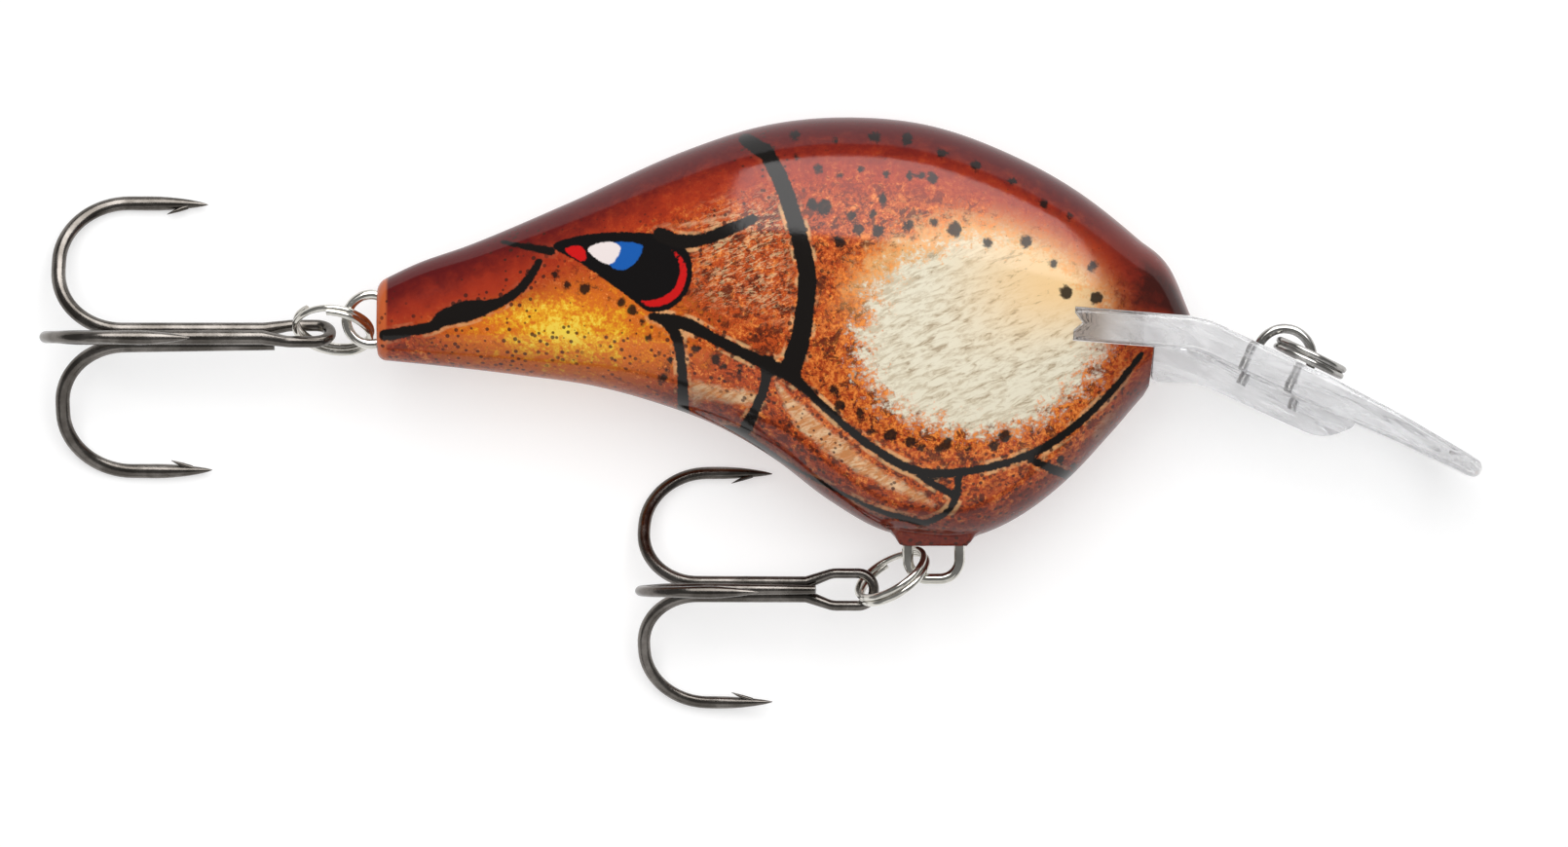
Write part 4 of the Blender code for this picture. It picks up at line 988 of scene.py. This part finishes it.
def lip_blade():
    path = evenly(lip_middle_line(), 70)
    path = path[:-3] + [path[-4].lerp(path[-1], t) for t in
                        (0.2, 0.4, 0.55, 0.68, 0.78, 0.86, 0.92, 0.96, 0.985, 1.0)]
    rings = []
    for i, point in enumerate(path):
        along = (path[min(i + 1, len(path) - 1)] - path[max(i - 1, 0)]).normalized()
        thin = min(max((point.x - BODY_LENGTH - 0.45 * LIP_REACH) / (0.55 * LIP_REACH), 0), 1)
        thickness = LIP_THICKNESS + (LIP_TIP_THICKNESS - LIP_THICKNESS) * thin
        left = (path[-1] - point).length / LIP_TIP_ROUNDING
        thickness *= max(1 - (1 - min(left, 1.0)) ** 2, 0.09) ** 0.5
        rings.append([list(p) for p in lip_ring(point, along, lip_half_width(point.x), thickness)])
    return grid_mesh(np.array(rings), "lip_blade")


print("lip loft rings:", len(evenly(lip_middle_line(), 70)) + 5)

# %% Join the chin, notch the tang and drill for the line tie
CHIN_HALF_WIDTH = 3.5
TIE_RADIUS = 2.05
TIE_WIRE = 0.72
TIE_PLAY = 0.03                     # gap between the staple and its moulded hole
TIE_LEG = 3.3


def lip_point(distance):
    """Centre-plane point of the lip, a distance in X beyond the nose."""
    start = Vector((BODY_LENGTH + 0.6, LIP_TOP_AT_NOSE - 0.5 * LIP_THICKNESS, 0.0))
    return start + Vector((1.0, math.tan(LIP_BLADE_ANGLE), 0.0)) * (distance - 0.6)


def bevelled_prism(outline, half_depth, rounding, name):
    """A prism with all its edges rounded over (mm)."""
    shape = bmesh.new()
    shape.from_mesh(prism(outline, half_depth, name))
    bmesh.ops.bevel(shape, geom=shape.edges, offset=rounding * MM, segments=3, profile=0.5,
                    affect='EDGES', clamp_overlap=True)
    return mesh_from(shape, name)


def chin_side():
    floor_level = LIP_TOP_AT_NOSE - LIP_THICKNESS - 2.0 - 0.35
    top = 0.5 * LIP_THICKNESS
    front = lip_point(12.2)
    low = Vector((0, -top - 2.3, 0))
    start = BODY_LENGTH - 3.0
    corners = [(start + 0.3, LIP_TOP_AT_NOSE - 1.5, 0), (start, floor_level, 0),
               (BODY_LENGTH + 0.5, floor_level - 0.1, 0), lip_point(9.6) + low,
               front + Vector((0, -top, 0)), front + Vector((-1.0, 0.3, 0))]
    return [p.xy for p in rounded_path(corners, (0.5, 3.0, 3.0, 0.5), 12.0)]


def tie_frame():
    """Origin on the lip's upper face under the line tie, +X along the blade."""
    turned = Matrix.Rotation(LIP_BLADE_ANGLE, 4, 'Z')
    turned.translation = lip_point(6.4) + turned.to_3x3() @ Vector((0, 0.5 * LIP_THICKNESS, 0))
    return turned


def drill(start, end, radius, name):
    """A round cutter between two places on the lure (mm)."""
    low, high = at(*start), at(*end)
    shape = bmesh.new()
    bmesh.ops.create_cone(shape, cap_ends=True, segments=28, radius1=radius * MM,
                          radius2=radius * MM, depth=(high - low).length)
    turn = (high - low).to_track_quat('Z', 'Y').to_matrix().to_4x4()
    turn.translation = (low + high) / 2
    bmesh.ops.transform(shape, matrix=turn, verts=shape.verts)
    return mesh_from(shape, name)


tie = tie_frame()
notch = from_tang(v_notch(0.7, -1.0))
cuts = [('UNION', bevelled_prism(chin_side(), CHIN_HALF_WIDTH, 0.22, "chin")),
        ('DIFFERENCE', prism(notch, THROUGH, "notch"))]
for side in (-1, 1):
    foot = tie @ Vector((side * TIE_RADIUS, -TIE_LEG - 0.05, 0))
    mouth = tie @ Vector((side * TIE_RADIUS, 1.5, 0))
    cuts.append(('DIFFERENCE', drill(foot, mouth, 0.5 * TIE_WIRE + TIE_PLAY, "tie_hole")))
lip_mesh = apply_booleans(lip_blade(), cuts, "diving_lip")
print("lip has", len(lip_mesh.polygons), "faces")

# %% [markdown]
# ## Clear plastic
# Transmission alone looks too perfect.  Real mouldings carry faint flow lines and a slight
# grey tint in their depth, so the surface gets a long, shallow ripple along the blade and
# the colour is held a shade below white.  Inside the slot it takes on some of the wood.

# %% Clear plastic material
# the second grey is painted shade for where the plastic turns away from the camera
CLEAR_GREY, GRAZING_SHADE_GREY = (0.86, 0.86, 0.87), (0.66, 0.66, 0.68)
FLOW_LIGHT, FLOW_DARK = (0.97, 0.97, 0.98), (0.62, 0.61, 0.62)
TANG_BROWN = (0.36, 0.30, 0.26)     # the slot's raw wood shows through the tang
FLOW_STRETCH = (1.0, 6.0, 3.0)


def make_clear_plastic():
    plastic, tree, shader = node_material("clear_moulding")
    here = place(tree)
    along_blade = place(tree, FLOW_STRETCH, (0, 0, LIP_BLADE_ANGLE))
    flow = noise(tree, along_blade, 75, 2, 0.5, 0.8)
    streaks = noise(tree, along_blade, 120, 3, 0.55, 1.2)
    split = tree.nodes.new('ShaderNodeSeparateXYZ')
    tree.links.new(here, split.inputs[0])
    tang = step(tree, split.outputs["X"], at(54.0, 0).x, at(52.4, 0).x)
    # painted shade: the plastic is drawn greyer towards its edges, where the surface turns away from
    # the camera
    rim = tree.nodes.new('ShaderNodeLayerWeight')
    rim.inputs["Blend"].default_value = 0.35
    tint = layer(tree, step(tree, rim.outputs["Facing"], 0.45, 0.95), CLEAR_GREY, GRAZING_SHADE_GREY)
    tint = layer(tree, step(tree, streaks, 0.56, 0.70, 0.0, 0.5), tint, FLOW_LIGHT)
    tint = layer(tree, step(tree, streaks, 0.42, 0.30, 0.0, 0.3), tint, FLOW_DARK)
    tint = layer(tree, maths(tree, 'MULTIPLY', tang, 0.75), tint, TANG_BROWN)
    clear = step(tree, streaks, 0.40, 0.66, 0.84, 0.66)
    clear = maths(tree, 'ADD', clear, maths(tree, 'MULTIPLY', tang, 0.3), clamp=True)
    haze = step(tree, noise(tree, here, 900, 2, 0.5), 0.35, 0.7, 0.0, 0.08)
    set_shader(tree, shader, {
        "Base Color": tint, "Transmission Weight": clear, "Roughness": haze, "IOR": 1.52,
        "Normal": bump(tree, flow, 0.35, 0.0009)})
    return plastic


clear_plastic = make_clear_plastic()
lip_mesh.shade_smooth()
lip_mesh.set_sharp_from_angle(angle=math.radians(28))
mesh_piece("diving_lip", lip_mesh, "lure", ("lip",), clear_plastic)

# %% [markdown]
# ## One tool for every wire
# Hangers, staple, rings and hooks are all wire that follows a path, which is exactly what
# Geometry Nodes do well.  The tree below turns a chain of edges into a curve, scales a round
# profile by a taper that each point carries, closes the ends and sets the finish.  Its wire
# radius, its number of sides and its finish are inputs, so one tree serves every wire.

# %% Wire-sweeping node tree
def wire_tree():
    tree = bpy.data.node_groups.new("sweep_wire", 'GeometryNodeTree')
    for name, in_out, kind in (("Path", 'INPUT', 'Geometry'), ("Wire radius", 'INPUT', 'Float'),
                               ("Sides", 'INPUT', 'Int'), ("Finish", 'INPUT', 'Material'),
                               ("Wire", 'OUTPUT', 'Geometry')):
        tree.interface.new_socket(name, in_out=in_out, socket_type=f"NodeSocket{kind}")
    add = tree.nodes.new
    start, end = add('NodeGroupInput'), add('NodeGroupOutput')
    curve = add('GeometryNodeMeshToCurve')
    taper, size = add('GeometryNodeInputNamedAttribute'), add('ShaderNodeMath')
    profile, sweep = add('GeometryNodeCurvePrimitiveCircle'), add('GeometryNodeCurveToMesh')
    smooth_shade = add('GeometryNodeSetShadeSmooth')
    realize, finish = add('GeometryNodeRealizeInstances'), add('GeometryNodeSetMaterial')
    taper.data_type = 'FLOAT'
    taper.inputs["Name"].default_value = "taper"
    size.operation = 'MULTIPLY'
    profile.inputs["Radius"].default_value = 1.0
    sweep.inputs["Fill Caps"].default_value = True
    wire = tree.links.new
    wire(start.outputs["Path"], curve.inputs["Mesh"])
    wire(taper.outputs["Attribute"], size.inputs[0])
    wire(start.outputs["Wire radius"], size.inputs[1])
    wire(size.outputs[0], sweep.inputs["Scale"])
    wire(curve.outputs["Curve"], sweep.inputs["Curve"])
    wire(start.outputs["Sides"], profile.inputs["Resolution"])
    wire(profile.outputs["Curve"], sweep.inputs["Profile Curve"])
    wire(sweep.outputs["Mesh"], smooth_shade.inputs["Geometry"])
    wire(smooth_shade.outputs["Geometry"], realize.inputs["Geometry"])
    wire(realize.outputs["Geometry"], finish.inputs["Geometry"])
    wire(start.outputs["Finish"], finish.inputs["Material"])
    wire(finish.outputs["Geometry"], end.inputs["Wire"])
    return tree


WIRE_TREE = wire_tree()


def sweep_wires(name, paths, radius, finish, sides):
    """Sweep paths of (place in mm, taper) and return one plain mesh."""
    mesh = bpy.data.meshes.new(f"{name}_path")
    points, edges, tapers = [], [], []
    for path in paths:
        first = len(points)
        points += [at(*place_mm) for place_mm, _ in path]
        tapers += [share for _, share in path]
        edges += [(first + i, first + i + 1) for i in range(len(path) - 1)]
    mesh.from_pydata(points, edges, [])
    mesh.attributes.new("taper", 'FLOAT', 'POINT').data.foreach_set("value", tapers)
    holder = linked(f"{name}_path", mesh)
    modifier = holder.modifiers.new("sweep", 'NODES')
    modifier.node_group = WIRE_TREE
    values = {"Wire radius": radius * MM, "Sides": sides, "Finish": finish}
    for item in WIRE_TREE.interface.items_tree:
        if item.in_out == 'INPUT' and item.name in values:
            modifier[item.identifier] = values[item.name]
    result = applied(holder, name)
    bpy.data.objects.remove(holder, do_unlink=True)
    face_outward(result)
    result.shade_smooth()
    result.set_sharp_from_angle(angle=math.radians(50))
    print(name, "swept:", len(result.polygons), "faces")
    return result


# %% [markdown]
# ## Plated wire
# Bright nickel on drawn wire is nearly a mirror, broken by fine draw marks and a few duller
# patches.  The hooks wear black nickel: a dark, slightly warm plate with the same sheen,
# which the flat light turns into long streaks.  Both are metals with noise in roughness.

# %% Plating materials
def make_plating(name, dark, light, rough_low, rough_high, mark_strength):
    plating, tree, shader = node_material(name)
    here = place(tree)
    stain = noise(tree, here, 420, 4, 0.6)
    wear = noise(tree, here, 900, 3, 0.6)
    marks = noise(tree, here, 5200, 2, 0.6)
    set_shader(tree, shader, {
        "Base Color": layer(tree, step(tree, stain, 0.35, 0.68), dark, light), "Metallic": 1.0,
        "Roughness": step(tree, wear, 0.3, 0.75, rough_low, rough_high),
        "Normal": bump(tree, marks, mark_strength, 0.00004)})
    return plating


bright_nickel = make_plating("bright_nickel", (0.52, 0.50, 0.45), (0.72, 0.70, 0.65),
                             0.10, 0.24, 0.12)
smoked_nickel = make_plating("smoked_nickel", (0.34, 0.33, 0.31), (0.50, 0.49, 0.47),
                             0.10, 0.22, 0.12)
black_nickel = make_plating("black_nickel", (0.095, 0.085, 0.075), (0.20, 0.183, 0.168),
                            0.16, 0.32, 0.16)
print("plating ready")

# %% [markdown]
# ## Hangers and line tie
# The belly hanger is a U of hard wire pushed up through the keel into the ballast.  The tail
# hanger is a loop whose two ends run side by side into the wood, and the line tie is a small
# staple moulded through the lip, seen right through the plastic.

# %% Hangers and line tie
HANGER_LEG = 39.15
HANGER_SPAN = 3.8
HANGER_WIRE = 0.8
HANGER_DROP = 2.45                  # from the keel down to the hanger's bottom
TAIL_WIRE = 0.74
TAIL_EYE_X = -0.46
TAIL_LOOP_RADIUS = 1.83
TAIL_LOOP_OPENING = math.radians(38)
TAIL_LEG_RISE = 0.4                 # each leg's middle, beside the loop's own middle line
TAIL_NECK = 1.6


def plain(path):
    """A path of even thickness."""
    return [(tuple(point), 1.0) for point in path]


def belly_hanger_path():
    bottom = KEEL_LEVEL - HANGER_DROP
    far = HANGER_LEG + HANGER_SPAN
    return rounded_path(((HANGER_LEG, KEEL_LEVEL + 7.0, 0), (HANGER_LEG, bottom, 0),
                         (far, bottom, 0), (far, KEEL_LEVEL + 7.0, 0)), (1.45, 1.45), 6.0)


def tail_hanger_path():
    centre = Vector((TAIL_EYE_X, TAIL_EYE_RISE, 0.0))
    loop = [centre + TAIL_LOOP_RADIUS * Vector((math.cos(a), math.sin(a), 0))
            for a in np.linspace(TAIL_LOOP_OPENING, 2 * math.pi - TAIL_LOOP_OPENING, 60)]
    neck = centre.x + TAIL_LOOP_RADIUS + TAIL_NECK
    leg = centre.y + TAIL_LEG_RISE
    upper = [Vector((13.0, centre.y + 1.5, 0)), Vector((11.5, leg, 0)), Vector((neck, leg, 0))]
    lower = [Vector((p.x, 2 * centre.y - p.y, 0)) for p in reversed(upper)]
    return upper + loop + lower


def line_tie_path():
    arch = [Vector((TIE_RADIUS * math.cos(a), TIE_RADIUS * math.sin(a), 0))
            for a in np.linspace(0, math.pi, 40)]
    legs = [Vector((TIE_RADIUS, -TIE_LEG, 0))] + arch + [Vector((-TIE_RADIUS, -TIE_LEG, 0))]
    return [tie @ point for point in legs]


WIRES = (("belly_hanger_wire", belly_hanger_path(), HANGER_WIRE, "belly_hanger", bright_nickel),
         ("tail_hanger_wire", tail_hanger_path(), TAIL_WIRE, "tail_hanger", bright_nickel),
         ("line_tie_staple", line_tie_path(), TIE_WIRE, "line_tie_wire", smoked_nickel))
for name, path, wire, node, finish in WIRES:
    mesh = sweep_wires(name, [plain(path)], 0.5 * wire, finish, 24)
    mesh_piece(name, mesh, "lure", (node,))

# %% [markdown]
# ## Split rings
# A split ring is almost two turns of hard wire lying flat on each other, with a short step
# where it changes layer.  The path is a circle whose height follows a steep S along its
# length; the two cut ends stay square.

# %% Split rings
RING_RADIUS = 2.8
RING_WIRE = 0.5
RING_TURNS = 1.9
RING_LAYER = 0.27                   # each layer's middle from the ring's own plane
RING_CROSSOVER = 5.0                # how steeply the wire steps from one layer to the other
TIE_RING_RADIUS = 2.6
TIE_RING_CROSSING = -0.85           # where the ring crosses the staple, along the blade
TIE_RING_LIFT = 0.2


def ring_frame(crossing, pull, axis, radius):
    """Origin at the ring's middle, +X back to where it crosses its wire, +Z its axis."""
    x = -Vector(pull).normalized()
    y = Vector(axis).cross(x).normalized()
    turned = Matrix((x, y, x.cross(y))).transposed().to_4x4()
    turned.translation = Vector(crossing) - x * radius
    return turned


def ring_path(placed, radius):
    path = []
    for share in np.linspace(-0.5, 0.5, 150):
        angle = 2 * math.pi * RING_TURNS * share + math.pi / 2
        height = RING_LAYER * math.tanh(RING_CROSSOVER * share * RING_TURNS)
        path.append(placed @ Vector((radius * math.cos(angle), radius * math.sin(angle), height)))
    return path


belly_ring = ring_frame((HANGER_LEG + 1.27, KEEL_LEVEL - 1.17, 0), (-0.86, -0.39, -0.32),
                        (-0.49, 0.78, 0.39), RING_RADIUS)
tail_ring = ring_frame((-0.8, -0.2, 0), (-0.895, -0.12, -0.43), (-0.19, -0.85, 0.50), RING_RADIUS)
blade = tie.to_3x3()
pierce = tie @ Vector((TIE_RING_CROSSING, RING_LAYER + 0.5 * RING_WIRE + TIE_RING_LIFT, 0))
tie_ring = Matrix((blade.col[0], -blade.col[2], blade.col[1])).transposed().to_4x4()
tie_ring.translation = pierce + blade @ Vector((TIE_RING_RADIUS, 0, 0))
RINGS = (("belly_split_ring", belly_ring, RING_RADIUS, "belly_ring", bright_nickel),
         ("tail_split_ring", tail_ring, RING_RADIUS, "tail_ring", bright_nickel),
         ("line_tie_split_ring", tie_ring, TIE_RING_RADIUS, "line_tie_ring", smoked_nickel))
for name, placed, radius, body, finish in RINGS:
    mesh = sweep_wires(name, [plain(ring_path(placed, radius))], 0.5 * RING_WIRE, finish, 20)
    mesh_piece(name, mesh, body, (body,))

# %% [markdown]
# ## Treble hooks
# A treble is two wires.  One is bent into two hooks with the eye between them; the other is a
# single hook whose shank is brazed into the groove of the first.  Each point is ground to a
# long taper, and a barb is cut up behind it.  The bends are forged, so they are slightly
# flat at their sides.

# %% Hook paths
EYE_FLATTENING = 0.8
EYE_LENGTH = 4.2
EYE_HALF = 1.2
EYE_PLAY = 0.12                     # gap between the eye and the ring in it
SHANK_GAP = 0.06                    # braze between two shanks
TIP_LENGTH = 4.2
TIP_DROP = 0.10                     # how far grinding moves the point inward, in wires
TIP_TAPER = ((0.0, 0.04), (0.02, 0.10), (0.06, 0.20), (0.12, 0.32), (0.2, 0.44), (0.3, 0.57),
             (0.42, 0.70), (0.55, 0.81), (0.7, 0.91), (0.85, 0.975), (1.0, 1.0))
BARB_BEHIND = 1.5                   # the barb's root, behind the point
BARB_LEAN = math.radians(19)
BARB_TAPER = ((0.0, 0.34), (0.35, 0.34), (0.75, 0.30), (1.1, 0.21), (1.4, 0.11), (1.62, 0.03))
BELLY_HOOK = {"wire": 0.95, "length": 18.4, "gape": 9.3, "bend": 4.4, "reach": 9.3,
              "forward": 1.1, "slack": 0.3}
TAIL_HOOK = {"wire": 1.08, "length": 21.4, "gape": 10.85, "bend": 5.0, "reach": 10.9,
             "forward": 0.3, "slack": 1.45}


def hook_frame(contact, tilt, roll):
    """Origin where the ring crosses the eye, -X along the shank (mm and degrees)."""
    turned = Matrix.Rotation(-math.radians(tilt), 4, 'Y') @ Matrix.Rotation(math.radians(roll), 4, 'X')
    turned.translation = Vector(contact)
    return turned


def eye_end(sizes):
    return sizes["slack"] + 0.5 * RING_WIRE + EYE_FLATTENING * sizes["wire"] + EYE_PLAY


def across_shank(degrees):
    angle = math.radians(degrees)
    return Vector((0, math.sin(angle), math.cos(angle)))


def arm(sizes, direction, base, forward, inner_end):
    """One arm from its point round the bend and along the shank, with its taper."""
    bend_x = eye_end(sizes) - sizes["length"] + 0.5 * sizes["wire"] + forward
    top = base + direction * sizes["gape"]
    along = Vector((1, 0, 0))
    corners = (top + along * (bend_x + sizes["reach"]), top + along * bend_x,
               base + along * bend_x, base + along * inner_end)
    path = rounded_path(corners, (sizes["bend"], sizes["bend"]), 5.0)
    run = (path[1] - path[0]).normalized()
    tip = [(path[0] + run * TIP_LENGTH * share - direction * TIP_DROP * sizes["wire"] * (1 - taper),
            taper) for share, taper in TIP_TAPER]
    return tip + [(p, 1.0) for p in path[1:] if (p - path[0]).length > TIP_LENGTH + 0.05]


def barb_path(sizes, tip, direction):
    """The spur that is cut up behind a point."""
    root = tip - Vector((BARB_BEHIND, 0, 0)) - direction * 0.16 * sizes["wire"]
    lean = -Vector((math.cos(BARB_LEAN), 0, 0)) - direction * math.sin(BARB_LEAN)
    return [(root + lean * length - direction * 0.05 * length ** 2, share)
            for length, share in BARB_TAPER]


def double_hook_paths(sizes):
    side = 0.5 * (sizes["wire"] + SHANK_GAP)
    crotch = eye_end(sizes) - EYE_LENGTH - 1.2
    arms = [arm(sizes, across_shank(sign * 120), Vector((0, sign * side, 0)), 0.0, crotch)
            for sign in (1, -1)]
    end = eye_end(sizes) - 0.5 * EYE_FLATTENING * sizes["wire"]
    corner = Vector((end, EYE_HALF, 0))
    flare = Vector((crotch + 1.9, EYE_HALF, 0))
    mirror = Vector((1, -1, 1))
    eye = rounded_path([arms[0][-1][0], flare, corner, corner * mirror, flare * mirror,
                        arms[1][-1][0]], (2.0, 0.97 * EYE_HALF, 0.97 * EYE_HALF, 2.0), 8.0)
    whole = arms[0] + [(p, EYE_FLATTENING) for p in eye[1:-1]] + list(reversed(arms[1]))
    barbs = [barb_path(sizes, arms[i][0][0], across_shank(sign * 120))
             for i, sign in ((0, 1), (1, -1))]
    return [whole] + barbs


def single_hook_paths(sizes):
    rise = math.sqrt(3) / 2 * (sizes["wire"] + SHANK_GAP)
    crotch = eye_end(sizes) - EYE_LENGTH - 0.4
    shank = arm(sizes, across_shank(0), Vector((0, 0, rise)), sizes["forward"], crotch)
    tail_taper = [(p, t if i < len(shank) - 1 else 0.7) for i, (p, t) in enumerate(shank)]
    return [tail_taper, barb_path(sizes, shank[0][0], across_shank(0))]


def braze_path(sizes):
    """Filler that wicked between the three shanks."""
    start = eye_end(sizes) - EYE_LENGTH - 1.4
    stop = eye_end(sizes) - sizes["length"] + sizes["bend"] + 1.2
    rise = 0.29 * sizes["wire"]
    path = []
    for i, x in enumerate(np.linspace(start, stop, 26)):
        swell = 0.50 + 0.05 * math.sin(2.3 * i) + 0.03 * math.sin(5.1 * i)
        ease = min(1.0, i / 4, (25 - i) / 4)
        path.append((Vector((x, 0, rise)), 0.15 + (swell - 0.15) * ease))
    return path


def place_paths(placed, paths):
    return [[(tuple(placed @ point), share) for point, share in path] for path in paths]


print("belly hook point to shank:", BELLY_HOOK["gape"], "mm")

# %% Sweep the trebles
BELLY_EYE, TAIL_EYE = (35.607, -19.802, -1.923), (-5.811, -0.872, -2.408)
TREBLES = (("belly", BELLY_HOOK, hook_frame(BELLY_EYE, 8.152, 0.0)),
           ("tail", TAIL_HOOK, hook_frame(TAIL_EYE, 1.871, 120.0)))


FORGE_SQUEEZE = 0.16                # share of its thickness that a bend loses
FORGE_OUT, FORGE_RISE = 1.6, 2.0    # how far off the shank it starts, and is full after
FORGE_FADE = 3.0                    # and how far it runs on past the bend


def forge_flat(mesh, placed, sizes, directions):
    """Squeeze the bends slightly towards the plane of their arm."""
    inverse = placed.inverted()
    end = eye_end(sizes) - sizes["length"] + sizes["bend"] + FORGE_FADE
    for vertex in mesh.vertices:
        here = inverse @ ((vertex.co - TAIL_MIDDLE) / MM)
        for direction in directions:
            out = here.dot(direction)
            if out < FORGE_OUT or here.x > end:
                continue
            sideways = direction.cross(Vector((1, 0, 0)))
            amount = here.dot(sideways)
            if abs(amount) > sizes["wire"]:
                continue
            share = min(1.0, (out - FORGE_OUT) / FORGE_RISE) * min(1.0, (end - here.x) / FORGE_FADE)
            here -= sideways * amount * FORGE_SQUEEZE * share
            vertex.co = TAIL_MIDDLE + (placed @ here) * MM


for side, sizes, placed in TREBLES:
    pair = place_paths(placed, double_hook_paths(sizes) + [braze_path(sizes)])
    mesh = sweep_wires(f"{side}_hook_pair", pair, 0.5 * sizes["wire"], black_nickel, 22)
    forge_flat(mesh, placed, sizes, (across_shank(120), across_shank(-120)))
    mesh_piece(f"{side}_hook_pair", mesh, f"{side}_treble", (f"{side}_double_hook",))
    third = place_paths(placed, single_hook_paths(sizes))
    mesh = sweep_wires(f"{side}_third_hook", third, 0.5 * sizes["wire"], black_nickel, 22)
    forge_flat(mesh, placed, sizes, (across_shank(0),))
    mesh_piece(f"{side}_third_hook", mesh, f"{side}_treble", (f"{side}_single_hook",))

# %% [markdown]
# ## What the body hides
# The rattle, its balls and the ballast are only seen when the lure is taken apart, but each
# still gets the metal or plastic that it is made of, so that the model can be opened up.

# %% Materials of the hidden pieces
def make_inner(name, dark, light, metallic, rough_low, rough_high, scale, relief):
    material, tree, shader = node_material(name)
    here = place(tree)
    tone = noise(tree, here, scale, 4, 0.6)
    grit = noise(tree, here, scale * 3, 3, 0.6)
    set_shader(tree, shader, {
        "Base Color": layer(tree, step(tree, tone, 0.35, 0.68), dark, light),
        "Metallic": metallic, "Roughness": step(tree, tone, 0.3, 0.7, rough_low, rough_high),
        "Normal": bump(tree, grit, relief, 0.0001)})
    return material


HIDDEN = ((("ballast",), make_inner("cast_lead", (0.16, 0.165, 0.175), (0.34, 0.35, 0.37), 1.0,
                                    0.45, 0.7, 300, 0.5)),
          (("rattle_tube",), make_inner("drawn_brass", (0.55, 0.36, 0.12), (0.78, 0.58, 0.26),
                                        1.0, 0.2, 0.4, 400, 0.2)),
          (("rattle_plug_rear", "rattle_plug_front"),
           make_inner("moulded_plug", (0.72, 0.72, 0.68), (0.86, 0.86, 0.83), 0.0, 0.35, 0.55,
                      500, 0.15)),
          (("rattle_ball_1", "rattle_ball_2", "rattle_ball_3"),
           make_inner("ball_steel", (0.50, 0.50, 0.51), (0.66, 0.66, 0.67), 1.0, 0.12, 0.25,
                      350, 0.1)))
for names, material in HIDDEN:
    for name in names:
        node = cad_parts[name]
        node.data.materials.clear()
        node.data.materials.append(material)
        print(name, "finished in", material.name)

# %% [markdown]
# ## Print both boxes
# The size of the finished model along each axis is printed beside the size of the solids.
# The visual model may stand only a hair proud of the solids.

# %% Print both boxes
visual_box = [list(corner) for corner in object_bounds()]
for axis, letter in enumerate("XYZ"):
    solid = 1000 * (solid_box[1][axis] - solid_box[0][axis])
    shown = 1000 * (visual_box[1][axis] - visual_box[0][axis])
    print(letter, "solid", round(solid, 2), "mm, shown", round(shown, 2), "mm")
